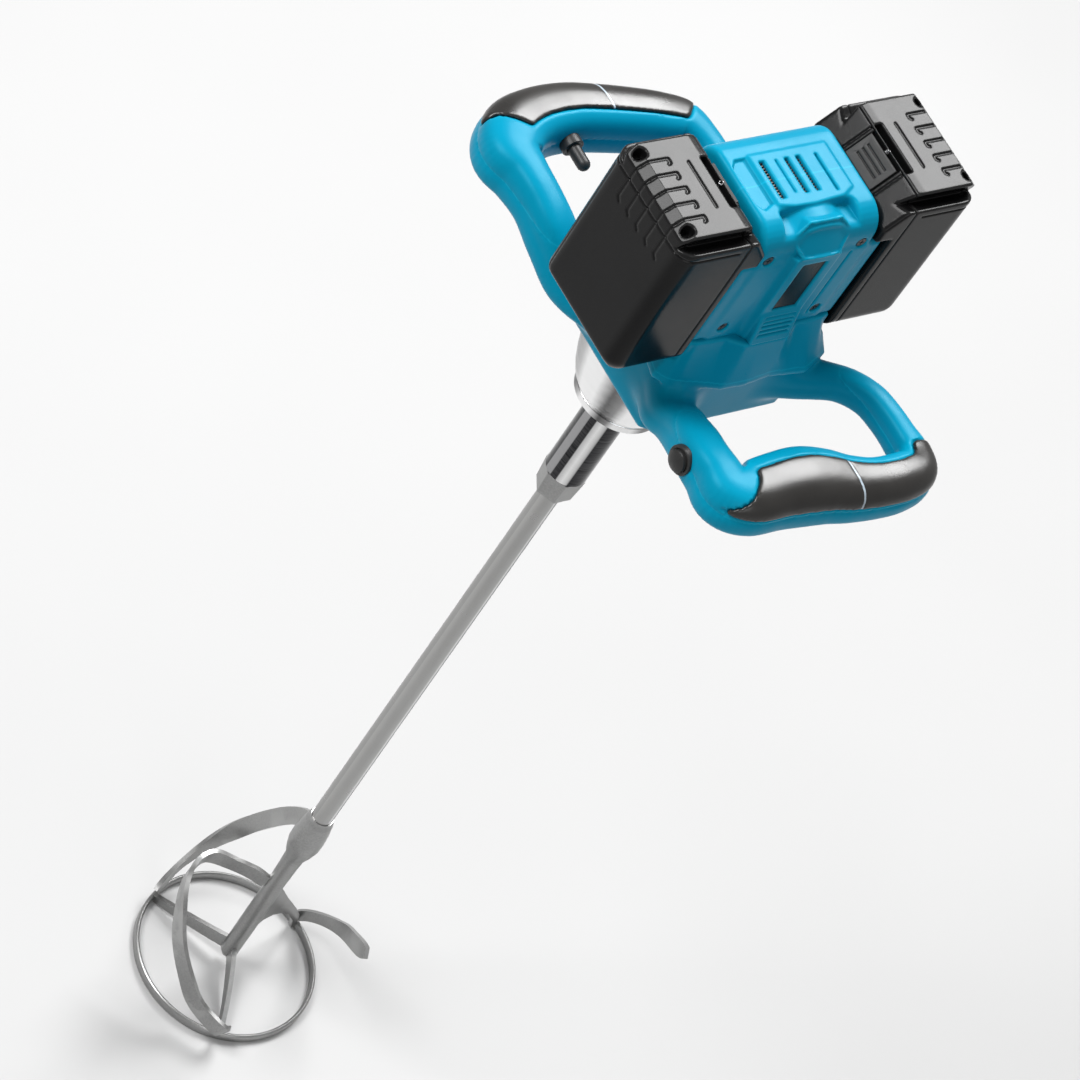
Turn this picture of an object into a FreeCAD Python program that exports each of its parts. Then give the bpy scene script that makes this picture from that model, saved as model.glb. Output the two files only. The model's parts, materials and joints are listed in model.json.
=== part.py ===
import FreeCAD, Part
import math
import os
from FreeCAD import Vector

os.makedirs("parts", exist_ok=True)

# Twin-battery two-handled mortar mixer with its mixing paddle.
# Frame: millimetres, +Z up along the spindle, origin on the spindle axis at the foot of the paddle's
# ring. The display faces -Y, the battery packs hang on the -X and +X sides, the handles on -Y and +Y.

# ---------------------------------------------------------------- driving dimensions
MOTOR_Y = -14.0            # motor, battery and handle centre line, behind or before the spindle axis
WALL = 2.6                 # moulded shell thickness
GAP = 0.3                  # clearance between pieces that come apart
RUN = 0.04                 # radial running clearance

# heights, from the foot of the paddle upward
FOOT_RING_TOP = 7.0
HUB_BOTTOM = 9.0
ROD_BOTTOM = 162.0
NUT_BOTTOM = 535.4
COUPLING_BOTTOM = 553.5
NOSE_BOTTOM = 624.0
NOSE_TOP = 629.5
POD_BOTTOM = 680.0         # underside of the moulded gear pod
SPLIT_Z = 724.0            # parting plane of the handle frame
LID_BOTTOM = 722.0
FRAME_TOP = 750.0          # parting line between handle frame and motor housing
SHOULDER_TOP = 814.0       # top of the wide part of the motor housing
HOUSING_TOP = 835.0
PACK_TOP = 845.0

# motor housing
HOUSING_HALF_X = 50.0
CROWN_HALF_X = 40.0
FRONT_Y = -49.0
BACK_Y = 2 * MOTOR_Y - FRONT_Y
CAVITY_HALF_X = 36.5

# battery pack: 75 wide, 109 long, 61 deep
PACK_HALF_Y = 37.5
PACK_BOTTOM = 736.0
PACK_OUT = 101.0
PACK_IN = 40.6
PACK_FOOT_IN = 50.4
PACK_CREASE = 56.6         # where the sloping latch face meets the top face
LATCH_FACE_LOW = 825.0
RAIL_HALF_Y = 24.0
RAIL_BOTTOM = 746.0

# paddle
RING_R = 62.6
STRIP_T = 3.0
STRIP_W = 11.5
ROD_R = 7.0
COUPLING_R = 13.0

# gear train: motor pinion - layshaft gear, layshaft pinion - spindle gear
STAGE1_MODULE = 1.0
STAGE1_PINION = 11
STAGE1_GEAR = 37
STAGE2_MODULE = 1.2
STAGE2_PINION = 12
STAGE2_GEAR = 33
PRESSURE_ANGLE = math.radians(25)
ADDENDUM = 0.85
DEDENDUM = 1.15
BACKLASH = 0.14

LAYSHAFT_C1 = STAGE1_MODULE * (STAGE1_PINION + STAGE1_GEAR) / 2
LAYSHAFT_C2 = STAGE2_MODULE * (STAGE2_PINION + STAGE2_GEAR) / 2
LAYSHAFT_Y = (LAYSHAFT_C2 ** 2 - LAYSHAFT_C1 ** 2 + MOTOR_Y ** 2) / (2 * MOTOR_Y)
LAYSHAFT_X = math.sqrt(LAYSHAFT_C2 ** 2 - LAYSHAFT_Y ** 2)

UP = Vector(0, 0, 1)


# ---------------------------------------------------------------- small building blocks
def box(x0, x1, y0, y1, z0, z1):
    return Part.makeBox(x1 - x0, y1 - y0, z1 - z0, Vector(x0, y0, z0))


def cyl(r, z0, z1, x=0.0, y=0.0):
    return Part.makeCylinder(r, z1 - z0, Vector(x, y, z0), UP)


def tube(r_out, r_in, z0, z1, x=0.0, y=0.0):
    return cyl(r_out, z0, z1, x, y).cut(cyl(r_in, z0 - 1, z1 + 1, x, y))


def rod(r, start, end):
    start, end = Vector(*start), Vector(*end)
    return Part.makeCylinder(r, start.distanceToPoint(end), start, end - start)


def polygon_face(points):
    return Part.Face(Part.makePolygon([Vector(*p) for p in points + points[:1]]))


def prism_z(points, z0, z1):
    return polygon_face([(x, y, z0) for x, y in points]).extrude(Vector(0, 0, z1 - z0))


def prism_x(points, x0, x1):
    return polygon_face([(x0, y, z) for y, z in points]).extrude(Vector(x1 - x0, 0, 0))


def prism_y(points, y0, y1):
    return polygon_face([(x, y0, z) for x, z in points]).extrude(Vector(0, y1 - y0, 0))


def turned(profile, x=0.0, y=0.0):
    """Solid of revolution about a vertical axis from (radius, z) points."""
    face = polygon_face([(r, 0, z) for r, z in profile])
    solid = face.revolve(Vector(0, 0, 0), UP, 360)
    solid.translate(Vector(x, y, 0))
    return solid


def fuse(shapes):
    first = shapes[0]
    return first.fuse(shapes[1:]) if len(shapes) > 1 else first


def loft(wires, ruled=False):
    return Part.makeLoft(wires, True, ruled)


def hexagon(across_flats, z, turn=0.0, x=0.0, y=0.0):
    r = across_flats / math.sqrt(3)
    corners = [math.radians(60 * k + turn) for k in range(6)]
    return [(x + r * math.cos(a), y + r * math.sin(a), z) for a in corners]


def hex_prism(across_flats, z0, z1, x=0.0, y=0.0):
    return prism_z([p[:2] for p in hexagon(across_flats, 0, 0, x, y)], z0, z1)


def mirror_x(shape):
    return shape.mirror(Vector(0, 0, 0), Vector(1, 0, 0))


def biggest(shape):
    return max(shape.Solids, key=lambda solid: solid.Volume)


def soften(shape, radius, pick):
    """Rounds the edges that pick(edge) accepts."""
    edges = [e for e in shape.Edges if pick(e)]
    return shape.makeFillet(radius, edges)


def vertical(edge):
    a, b = edge.Vertexes[0].Point, edge.Vertexes[-1].Point
    return abs(a.x - b.x) < 1e-6 and abs(a.y - b.y) < 1e-6


def rounded_box(x0, x1, y0, y1, z0, z1, r):
    return soften(box(x0, x1, y0, y1, z0, z1), r, vertical)


def save(node, shape):
    solids = shape.Solids
    out = solids[0] if len(solids) == 1 else Part.makeCompound(solids)
    out.exportStep("parts/" + node + ".step")


# ---------------------------------------------------------------- mixing paddle
def polar(azimuth, r, z):
    a = math.radians(azimuth)
    return Vector(r * math.cos(a), r * math.sin(a), z)


def strip(stations, thickness=STRIP_T):
    """Flat bar on edge, swept through (azimuth, radius, z, height) stations."""
    points = [polar(a, r, z) for a, r, z, h in stations]
    wires = []
    for i, (a, r, z, height) in enumerate(stations):
        ahead = points[min(i + 1, len(points) - 1)]
        behind = points[max(i - 1, 0)]
        along = (ahead - behind).normalize()
        across = along.cross(UP).normalize()
        up = across.cross(along).normalize()
        half_t, half_h = across * (thickness / 2), up * (height / 2)
        corners = [points[i] + half_t + half_h, points[i] - half_t + half_h,
                   points[i] - half_t - half_h, points[i] + half_t - half_h]
        wires.append(Part.makePolygon(corners + corners[:1]))
    return loft(wires)


def paddle_ring():
    return tube(RING_R, RING_R - STRIP_T, 0, FOOT_RING_TOP)


def paddle_hub():
    profile = [(0, HUB_BOTTOM), (4.5, HUB_BOTTOM), (6.0, 12), (6.2, 60), (5.8, 100), (6.2, 118),
               (6.8, 131), (9.2, 139), (10.9, 147), (11.0, 154), (10.2, 165), (9.2, 173),
               (7.6, 178), (0, 178)]
    bore = cyl(ROD_R, ROD_BOTTOM, 180)
    return turned(profile).cut(bore)


SPOKE_AZIMUTHS = (-122.0, 117.0)
GUSSET_AZIMUTH = 8.0


def gusset():
    """Curved web from the waist of the hub out to the ring, cut from plate."""
    outline = [(3, 94), (8, 88), (26, 62), (46, 35), (58, 17), (RING_R - STRIP_T, 6), (RING_R - STRIP_T, 2),
               (57, 2), (53, 14), (43, 28), (32, 38.5), (22, 43), (14, 42), (9.5, 35), (7.5, 24), (3, 22)]
    plate = prism_y([(r, z) for r, z in outline], -STRIP_T / 2, STRIP_T / 2)
    plate.rotate(Vector(0, 0, 0), UP, GUSSET_AZIMUTH)
    return plate


def paddle_spokes(hub, ring):
    """Two straight spokes and one web from the hub bar out to the ring."""
    inner = RING_R - STRIP_T + 0.4
    low = FOOT_RING_TOP / 2 + 0.6
    spokes = [strip([(a, 4.5, 17, STRIP_W), (a + 2, 32, 11, STRIP_W - 2),
                     (a, inner, low, FOOT_RING_TOP - 1)]) for a in SPOKE_AZIMUTHS]
    parts = [biggest(part.cut([hub, ring])) for part in spokes + [gusset()]]
    return Part.makeCompound(parts)


def blade_waist():
    """Front blade: climbs round the front left, then curls in to the waist of the hub."""
    path = [(-122, 61.2, 11.5), (-140, 63.0, 24), (-155, 63.6, 40), (-166, 64, 54), (-177, 64, 68),
            (-186, 64, 84), (-196, 62.5, 98), (-205, 57, 106), (-212, 49, 107), (-216, 35, 103),
            (-218, 22, 100), (-219, 12, 97), (-220, 5.5, 95)]
    return strip([(a, r, z, STRIP_W) for a, r, z in path])


def blade_neck():
    """Rear blade: climbs round the back and reaches the hub just under the rod."""
    path = [(117, 61.2, 11.5), (107, 61.5, 22), (96, 61.5, 34), (86, 61, 47), (79, 56, 69),
            (76, 47, 93), (75, 37, 115), (74, 26, 136), (73, 16, 151), (72, 7, 161)]
    return strip([(a, r, z, STRIP_W) for a, r, z in path])


def blade_free():
    """Right blade: rises off the ring and ends in a free rounded tip that flares outward."""
    path = [(9, 61.2, 11.0), (-2, 64.5, 25), (-17, 66, 42), (-30, 66, 57), (-40, 68, 67),
            (-48, 72, 76), (-51, 74, 80)]
    heights = [7.5, 8.0, 9.5, 11, 11.5, 10.5, 7.5]
    return strip([(a, r, z, h) for (a, r, z), h in zip(path, heights)])


def paddle_blades(hub, ring):
    blades = [blade_waist(), blade_neck(), blade_free()]
    return Part.makeCompound([biggest(blade.cut([hub, ring])) for blade in blades])


def mixing_rod():
    return cyl(ROD_R, ROD_BOTTOM, COUPLING_BOTTOM + 22)


def rod_nut():
    low = Part.makePolygon([Vector(*p) for p in hexagon(21, NUT_BOTTOM) + hexagon(21, NUT_BOTTOM)[:1]])
    high = Part.makePolygon([Vector(*p) for p in hexagon(23.4, COUPLING_BOTTOM)
                             + hexagon(23.4, COUPLING_BOTTOM)[:1]])
    return loft([low, high], True).cut(cyl(ROD_R, NUT_BOTTOM - 1, COUPLING_BOTTOM + 1))


SPINDLE_R = 7.5
SPINDLE_BOTTOM = 586.0
GEAR2_Z = (698.0, 708.5)


def coupling_sleeve():
    body = turned([(0, COUPLING_BOTTOM), (COUPLING_R - 0.8, COUPLING_BOTTOM),
                   (COUPLING_R, COUPLING_BOTTOM + 0.8), (COUPLING_R, 636.2), (COUPLING_R - 0.8, 637),
                   (0, 637)])
    body = body.cut(cyl(ROD_R, COUPLING_BOTTOM - 1, COUPLING_BOTTOM + 22))
    return body.cut(cyl(SPINDLE_R, SPINDLE_BOTTOM, 640))


def output_spindle():
    return fuse([cyl(SPINDLE_R, SPINDLE_BOTTOM, GEAR2_Z[1]), cyl(9.5, 662, 684)]).removeSplitter()


# ---------------------------------------------------------------- gears
def involute_point(base_r, r, offset):
    roll = math.acos(min(1.0, base_r / r))
    angle = offset - (math.tan(roll) - roll)
    return r, angle


def gear_outline(module, teeth, z):
    """Involute spur gear outline with the middle of a tooth on the +X axis."""
    pitch_r = module * teeth / 2
    base_r = pitch_r * math.cos(PRESSURE_ANGLE)
    tip_r = pitch_r + ADDENDUM * module
    root_r = pitch_r - DEDENDUM * module
    half_tooth = math.pi / (2 * teeth) - BACKLASH / (2 * pitch_r)
    offset = half_tooth + math.tan(PRESSURE_ANGLE) - PRESSURE_ANGLE
    start_r = max(base_r, root_r + 0.05)
    steps = 5
    flank = [involute_point(base_r, start_r + (tip_r - start_r) * k / steps, offset)
             for k in range(steps + 1)]
    points = []
    for tooth in range(teeth):
        centre = 2 * math.pi * tooth / teeth
        rising = [(root_r, -flank[0][1] - 0.02)] + [(r, -a) for r, a in flank]
        falling = [(r, a) for r, a in reversed(flank)] + [(root_r, flank[0][1] + 0.02)]
        points += [Vector(r * math.cos(centre + a), r * math.sin(centre + a), z)
                   for r, a in rising + falling]
    return Part.makePolygon(points + points[:1])


def gear(module, teeth, z0, z1, x, y, turn):
    body = Part.Face(gear_outline(module, teeth, z0)).extrude(Vector(0, 0, z1 - z0))
    body.rotate(Vector(0, 0, 0), UP, turn)
    body.translate(Vector(x, y, 0))
    return body


def mesh_turn(driver_teeth, driver_turn, teeth, toward):
    """Turn that puts a gap of this gear on the driver's tooth along the line of centres (degrees)."""
    phase = (toward - driver_turn) * driver_teeth / 360.0
    facing = toward + 180.0
    gap = (0.5 + phase) * 360.0 / teeth
    return facing + gap


LAY_FROM_SPINDLE = math.degrees(math.atan2(LAYSHAFT_Y, LAYSHAFT_X))
LAY_FROM_MOTOR = math.degrees(math.atan2(LAYSHAFT_Y - MOTOR_Y, LAYSHAFT_X))
GEAR1_Z = (711.0, 718.5)
PINION1_Z = (710.2, 719.0)
MOTOR_SHAFT_R = 4.0
LAYSHAFT_R = 4.0


def spindle_gear():
    wheel = gear(STAGE2_MODULE, STAGE2_GEAR, GEAR2_Z[0], GEAR2_Z[1], 0, 0, 0)
    return wheel.cut(cyl(SPINDLE_R, GEAR2_Z[0] - 1, GEAR2_Z[1] + 1))


def layshaft_gear():
    wheel = gear(STAGE1_MODULE, STAGE1_GEAR, GEAR1_Z[0], GEAR1_Z[1], LAYSHAFT_X, LAYSHAFT_Y, 0)
    return wheel.cut(cyl(LAYSHAFT_R, GEAR1_Z[0] - 1, GEAR1_Z[1] + 1, LAYSHAFT_X, LAYSHAFT_Y))


def layshaft():
    """Intermediate shaft with the second stage's pinion cut on it."""
    turn = mesh_turn(STAGE2_GEAR, 0, STAGE2_PINION, LAY_FROM_SPINDLE)
    pinion = gear(STAGE2_MODULE, STAGE2_PINION, GEAR2_Z[0] - 0.5, GEAR1_Z[0], LAYSHAFT_X, LAYSHAFT_Y, turn)
    return cyl(LAYSHAFT_R, 688.3, 728.5, LAYSHAFT_X, LAYSHAFT_Y).fuse(pinion).removeSplitter()


# ---------------------------------------------------------------- gear case
BEARING_BIG = (16.0, 7.5, 9.0)       # outer radius, bore radius, width
BEARING_MID = (11.0, 4.0, 7.0)
BEARING_SMALL = (8.0, 4.0, 5.0)
SPINDLE_BEARING_Z = (641.0, 686.5)
LAYSHAFT_BEARING_Z = (688.0, 723.0)
MOTOR_BEARING_Z = (723.0, 797.0)
LID_TOP = 730.5
POD_BOLTS = [(-33.0, -43.0), (33.0, -43.0)]


def bearing(size, z, x=0.0, y=0.0):
    outer, bore, width = size
    ring = tube(outer, bore + RUN, z, z + width, x, y)
    groove = tube(outer - 2.2, bore + 2.2, z - 1, z + 0.4, x, y)
    return ring.cut(groove)


def spindle_bearings():
    return Part.makeCompound([bearing(BEARING_BIG, z) for z in SPINDLE_BEARING_Z])


def layshaft_bearings():
    return Part.makeCompound([bearing(BEARING_SMALL, z, LAYSHAFT_X, LAYSHAFT_Y)
                              for z in LAYSHAFT_BEARING_Z])


def motor_bearings():
    return Part.makeCompound([bearing(BEARING_MID, z, 0, MOTOR_Y) for z in MOTOR_BEARING_Z])


def octagon(half_x, front, back, chamfer_x, chamfer_y):
    """Plan outline with cut corners, centred on X."""
    return [(-half_x, front + chamfer_y), (-half_x + chamfer_x, front), (half_x - chamfer_x, front),
            (half_x, front + chamfer_y), (half_x, back - chamfer_y), (half_x - chamfer_x, back),
            (-half_x + chamfer_x, back), (-half_x, back - chamfer_y)]


CUP_BOTTOM = 684.0
CUP_OUTLINE = octagon(46.3, -55.5, 27.5, 17, 17)


def gear_case():
    """Polished aluminium bell under a cup that carries both gear stages."""
    bell = turned([(0, NOSE_TOP), (25.6, NOSE_TOP), (25.6, NOSE_TOP + 1.4), (28.0, NOSE_TOP + 1.6),
                   (30.8, 635.5), (33.6, 642), (36.4, 651), (39.0, 661), (41.4, 671), (43.2, 679),
                   (43.6, CUP_BOTTOM), (0, CUP_BOTTOM)])
    cup = prism_z(CUP_OUTLINE, CUP_BOTTOM, LID_BOTTOM)
    body = bell.fuse(cup).removeSplitter()
    hollows = [cyl(8.0, 719.5 - 9.8, 723, 0, MOTOR_Y), cyl(21.0, 709.8, 723, LAYSHAFT_X, LAYSHAFT_Y),
               cyl(8.8, 696.8, 712, LAYSHAFT_X, LAYSHAFT_Y), cyl(22.6, 696.8, 723, 0, 0)]
    seats = [cyl(BEARING_SMALL[0], 688.0, 700, LAYSHAFT_X, LAYSHAFT_Y),
             cyl(BEARING_BIG[0], 686.5, 700), cyl(BEARING_BIG[0], 641, 650)]
    waist = [cyl(11.5, 650, 687), cyl(15.2, 628, 641)]
    lightening = [tube(34, 20, 652, 681)]
    body = body.cut(hollows + seats + waist + lightening)
    bolts = [cyl(2.5, CUP_BOTTOM - 1, 700, x, y) for x, y in POD_BOLTS]
    return body.cut(bolts)


def gear_case_lid():
    plate = prism_z(CUP_OUTLINE, LID_BOTTOM, LID_TOP)
    cuts = [cyl(BEARING_MID[0], 723, 732, 0, MOTOR_Y), cyl(6.8, 721, 724, 0, MOTOR_Y),
            cyl(BEARING_SMALL[0], 723, 728.8, LAYSHAFT_X, LAYSHAFT_Y),
            cyl(5.0, 721, 724, LAYSHAFT_X, LAYSHAFT_Y)]
    cuts += [cyl(2.1, 721, 732, x, y) for x, y in LID_SCREWS]
    return plate.cut(cuts)


LID_SCREWS = [(-40, -26), (-40, 0), (25, -50), (-22, 23.5), (22, 23.5), (-25, -50)]


def lid_screws():
    screws = []
    for x, y in LID_SCREWS:
        body = fuse([cyl(2.1, LID_BOTTOM, LID_TOP, x, y), cyl(3.6, LID_TOP, LID_TOP + 2.6, x, y)])
        screws.append(body.cut(hex_prism(3.0, LID_TOP + 1.2, LID_TOP + 3, x, y)).removeSplitter())
    return Part.makeCompound(screws)


def nose_cap():
    """Retaining collar at the mouth of the bell."""
    ring = turned([(14.0, NOSE_BOTTOM + 0.6), (14.6, NOSE_BOTTOM), (26.2, NOSE_BOTTOM),
                   (27.0, NOSE_BOTTOM + 0.8), (27.0, NOSE_TOP - 0.5), (26.5, NOSE_TOP), (14.0, NOSE_TOP)])
    return ring


def spindle_seal():
    """Lip seal round the coupling, seated in the bell's mouth."""
    return tube(15.2, COUPLING_R + RUN, 630.2, 636)


def pod_bolts():
    """Socket screws that clamp the pod to the cup from below."""
    bolts = []
    for x, y in POD_BOLTS:
        head = cyl(4.6, POD_BOTTOM - 1.4, POD_BOTTOM + 2.6, x, y)
        shank = cyl(2.5, POD_BOTTOM + 2.6, 698, x, y)
        bolt = head.fuse(shank).cut(hex_prism(4.0, POD_BOTTOM - 2, POD_BOTTOM + 1, x, y))
        bolts.append(bolt.removeSplitter())
    return Part.makeCompound(bolts)


# ---------------------------------------------------------------- motor
STATOR_R = 27.5
ROTOR_R = 15.5
STATOR_Z = (754.0, 788.0)


def motor_stator():
    ring = tube(STATOR_R, ROTOR_R + 0.7, STATOR_Z[0], STATOR_Z[1], 0, MOTOR_Y)
    slots = []
    for k in range(6):
        a = math.radians(60 * k + 30)
        x, y = 20.5 * math.cos(a), MOTOR_Y + 20.5 * math.sin(a)
        slots.append(cyl(3.0, STATOR_Z[0] - 1, STATOR_Z[1] + 1, x, y))
    return ring.cut(slots)


def stator_windings():
    """Six coils, shown as the copper bundles that fill the slots and stand proud at both ends."""
    coils = []
    for k in range(6):
        a = math.radians(60 * k + 30)
        x, y = 20.5 * math.cos(a), MOTOR_Y + 20.5 * math.sin(a)
        coils.append(cyl(3.0, STATOR_Z[0] - 3.5, STATOR_Z[1] + 3.5, x, y))
    return Part.makeCompound(coils)


def rotor_core():
    return tube(ROTOR_R, MOTOR_SHAFT_R, STATOR_Z[0] + 1, STATOR_Z[1] - 1, 0, MOTOR_Y)


def motor_shaft():
    """Motor shaft with the first stage's pinion cut on its lower end."""
    turn = mesh_turn(STAGE1_GEAR, 0, STAGE1_PINION, LAY_FROM_MOTOR + 180)
    pinion = gear(STAGE1_MODULE, STAGE1_PINION, PINION1_Z[0], PINION1_Z[1], 0, MOTOR_Y, turn)
    return fuse([pinion, cyl(MOTOR_SHAFT_R, PINION1_Z[1], 805, 0, MOTOR_Y)]).removeSplitter()


def cooling_fan():
    """Radial fan under the rotor: a back plate with curved blades."""
    hub = tube(7.0, MOTOR_SHAFT_R, 735, 747, 0, MOTOR_Y)
    disc = tube(25.0, 6.0, 735, 736.6, 0, MOTOR_Y)
    blades = []
    for k in range(11):
        blade = box(6.5, 24.5, -0.7, 0.7, 736, 746)
        blade.rotate(Vector(6.5, 0, 0), UP, 24)
        blade.rotate(Vector(0, 0, 0), UP, 360 / 11 * k)
        blade.translate(Vector(0, MOTOR_Y, 0))
        blades.append(blade.common(cyl(25.0, 735, 747, 0, MOTOR_Y)))
    return fuse([hub, disc] + blades).removeSplitter()


def motor_end_plate():
    """Bridge across the housing that holds the upper motor bearing."""
    plate = octagon(36.2, FRONT_Y + 5.6, BACK_Y - WALL - 0.4, 10, 10)
    body = prism_z(plate, 795, 803)
    body = body.cut(cyl(BEARING_MID[0], 797, 804, 0, MOTOR_Y)).cut(cyl(5.0, 794, 798, 0, MOTOR_Y))
    windows = [cyl(6.5, 794, 804, 20 * math.cos(math.radians(a)), MOTOR_Y + 22 * math.sin(math.radians(a)))
               for a in (60, 120, 240, 300)]
    screw_room = [rod(4.6, (x, -60, FRONT_SCREW_Z[1]), (x, 30, FRONT_SCREW_Z[1]))
                  for x in (-FRONT_SCREW_X, FRONT_SCREW_X)]
    return body.cut(windows + screw_room)


# ---------------------------------------------------------------- motor housing
FRONT_SCREW_X = 32.0
FRONT_SCREW_Z = (760.0, 815.5)
WINDOW_HALF_X = 8.2
WINDOW_Z = (773.0, 811.0)
POD_FRONT_Y = -53.2


def arc_points(cy, cz, r, start, end, steps=6):
    """Points of an arc in the YZ plane; angles in degrees, 0 along +Y, 90 along +Z."""
    out = []
    for k in range(steps + 1):
        a = math.radians(start + (end - start) * k / steps)
        out.append((cy + r * math.cos(a), cz + r * math.sin(a)))
    return out


def crown_profile(inset=0.0):
    """Side outline of the housing's crown: rounded back, flat vent deck, rolled front shoulder."""
    top = HOUSING_TOP - inset
    back, front = BACK_Y - inset, FRONT_Y + inset
    back_r, front_r = 13.0 - inset, 16.0 - inset
    return ([(back, FRAME_TOP)] + arc_points(back - back_r, top - back_r, back_r, 0, 90)
            + arc_points(front + front_r, top - front_r, front_r, 90, 180) + [(front, FRAME_TOP)])


def crown_block():
    block = prism_x(crown_profile(), -CROWN_HALF_X, CROWN_HALF_X)

    def rim(edge):
        mid = edge.CenterOfMass
        return abs(abs(mid.x) - CROWN_HALF_X) < 1e-6 and mid.z > SHOULDER_TOP and not vertical(edge)
    return soften(block, 4.0, rim)


def housing_outer():
    body = rounded_box(-HOUSING_HALF_X, HOUSING_HALF_X, FRONT_Y, BACK_Y, FRAME_TOP, SHOULDER_TOP, 5.0)
    pod = prism_z([(-20, FRONT_Y + 1), (-14.5, POD_FRONT_Y), (14.5, POD_FRONT_Y), (20, FRONT_Y + 1)],
                  FRAME_TOP, 815)
    return fuse([body, crown_block(), pod, display_hood(), louvre_block()])


def display_hood():
    """Faceted plate that leans over the display window."""
    top = [(-11, -42.5, 836.2), (11, -42.5, 836.2)]
    side = [(-21.5, -44.8, 826.5), (21.5, -44.8, 826.5)]
    low = [(-12.5, -54.0, 817.5), (12.5, -54.0, 817.5)]
    outline = [top[0], top[1], side[1], low[1], low[0], side[0], top[0]]
    front = Part.makePolygon([Vector(*p) for p in outline])
    back = Part.makePolygon([Vector(x, -36.0, z - 6.0) for x, y, z in outline])
    return loft([front, back], True)


def louvre_block():
    """Wedge under the display that swells toward the frame's belt, with cooling louvres."""
    wedge = prism_x([(FRONT_Y + 1, FRAME_TOP), (-57.5, FRAME_TOP), (-57.0, 753), (-54.4, 769.5),
                     (-53.0, 771.0), (FRONT_Y + 1, 771.0)], -13.5, 13.5)
    for k in range(5):
        z = 754.6 + 3.0 * k
        wedge = wedge.cut(box(-11, 11, -60, -53.6 - 0.55 * (4 - k), z, z + 1.2))
    return wedge


VENT_SLOTS = [(-18.0, 3.2, -25.5, -1.0), (-1.6, 2.6, -23.5, -1.0), (6.2, 2.6, -23.5, -1.0),
              (18.0, 1.0, -26.0, -1.0), (-8.5, 0.7, -23.5, -1.0)]


def housing_cavity():
    deck = HOUSING_TOP - WALL
    profile = ([(BACK_Y - WALL, FRAME_TOP - 1)]
               + arc_points(BACK_Y - 13, HOUSING_TOP - 13, 13 - WALL, 0, 90)
               + [(-31.0, deck), (-36.0, deck - 3.5), (FRONT_Y + WALL, deck - 16),
                  (FRONT_Y + WALL, FRAME_TOP - 1)])
    return prism_x(profile, -CAVITY_HALF_X, CAVITY_HALF_X)


def dock_pocket(side):
    """Recess on one flank that the pack's rails slide down into."""
    x0, x1 = sorted((side * CROWN_HALF_X, side * (HOUSING_HALF_X + 1)))
    return box(x0, x1, MOTOR_Y - RAIL_HALF_Y - 1.0, MOTOR_Y + RAIL_HALF_Y + 1.0, RAIL_BOTTOM - 2.0 + 6.0,
               SHOULDER_TOP + 1)


def screw_boss(x, z):
    return rod(3.3, (x, FRONT_Y + 1, z), (x, 6, z))


def motor_housing():
    shell = housing_outer().cut(housing_cavity())
    bosses = []
    for x in (-FRONT_SCREW_X, FRONT_SCREW_X):
        for z in FRONT_SCREW_Z:
            boss = screw_boss(x, z)
            wall_x = math.copysign(37, x)
            web = box(min(x, wall_x), max(x, wall_x), -46.0, 6.0, z - 1.2, z + 1.2)
            bosses += [boss, web]
    shell = shell.fuse(bosses)
    cuts = [dock_pocket(-1), dock_pocket(1)]
    for x, width, y0, y1 in VENT_SLOTS:
        depth = 8 if width > 1 else 1.0
        cuts.append(box(x - width / 2, x + width / 2, y0, y1, HOUSING_TOP - depth, HOUSING_TOP + 3))
    cuts.append(box(-WINDOW_HALF_X, WINDOW_HALF_X, -60, -40, WINDOW_Z[0], WINDOW_Z[1]))
    for x in (-FRONT_SCREW_X, FRONT_SCREW_X):
        for z in FRONT_SCREW_Z:
            cuts.append(rod(1.6, (x, -50, z), (x, 2, z)))
            cuts.append(rod(3.0, (x, -60, z), (x, FRONT_Y + 2.4, z)))
    for k in range(4):
        z = 790.0 + 5.0 * k
        cuts.append(box(-24, 24, BACK_Y - WALL - 1, BACK_Y + 1, z, z + 2.2))
    return shell.cut(cuts).removeSplitter()


def housing_half(shell, front):
    limit = 120
    y0, y1 = (-limit, MOTOR_Y) if front else (MOTOR_Y, limit)
    return shell.common(box(-limit, limit, y0, y1, FRAME_TOP, 860))


def housing_screws():
    screws = []
    for x in (-FRONT_SCREW_X, FRONT_SCREW_X):
        for z in FRONT_SCREW_Z:
            head = rod(2.9, (x, FRONT_Y + 0.3, z), (x, FRONT_Y + 2.4, z))
            shank = rod(1.6, (x, FRONT_Y + 2.4, z), (x, 1.5, z))
            cross = [box(x - 1.9, x + 1.9, FRONT_Y - 1, FRONT_Y + 1.3, z - 0.35, z + 0.35),
                     box(x - 0.35, x + 0.35, FRONT_Y - 1, FRONT_Y + 1.3, z - 1.9, z + 1.9)]
            screws.append(head.fuse(shank).cut(cross).removeSplitter())
    return Part.makeCompound(screws)


def display_window():
    return box(-WINDOW_HALF_X + 0.1, WINDOW_HALF_X - 0.1, POD_FRONT_Y + 0.9, POD_FRONT_Y + 2.7,
               WINDOW_Z[0] + 0.1, WINDOW_Z[1] - 0.1)


def display_board():
    board = box(-15, 15, -46.0, -44.4, 768, 812)
    module = box(-7.8, 7.8, -49.8, -46.0, WINDOW_Z[0] + 1, WINDOW_Z[1] - 1)
    return board.fuse(module).removeSplitter()


# ---------------------------------------------------------------- electronics
def control_board():
    board = box(-33, 33, -38, 12, 809, 810.6)
    parts = [box(-24, -12, -30, -18, 810.6, 817), box(-6, 6, -32, -24, 810.6, 815),
             box(14, 26, -22, -10, 810.6, 816)]
    return fuse([board] + parts).removeSplitter()


def heat_sink():
    base = box(-20, 20, -6, 10, 810.6, 813)
    fins = [box(-20 + 5 * k, -18.4 + 5 * k, -6, 10, 813, 821) for k in range(9)]
    return fuse([base] + fins).removeSplitter()


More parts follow.
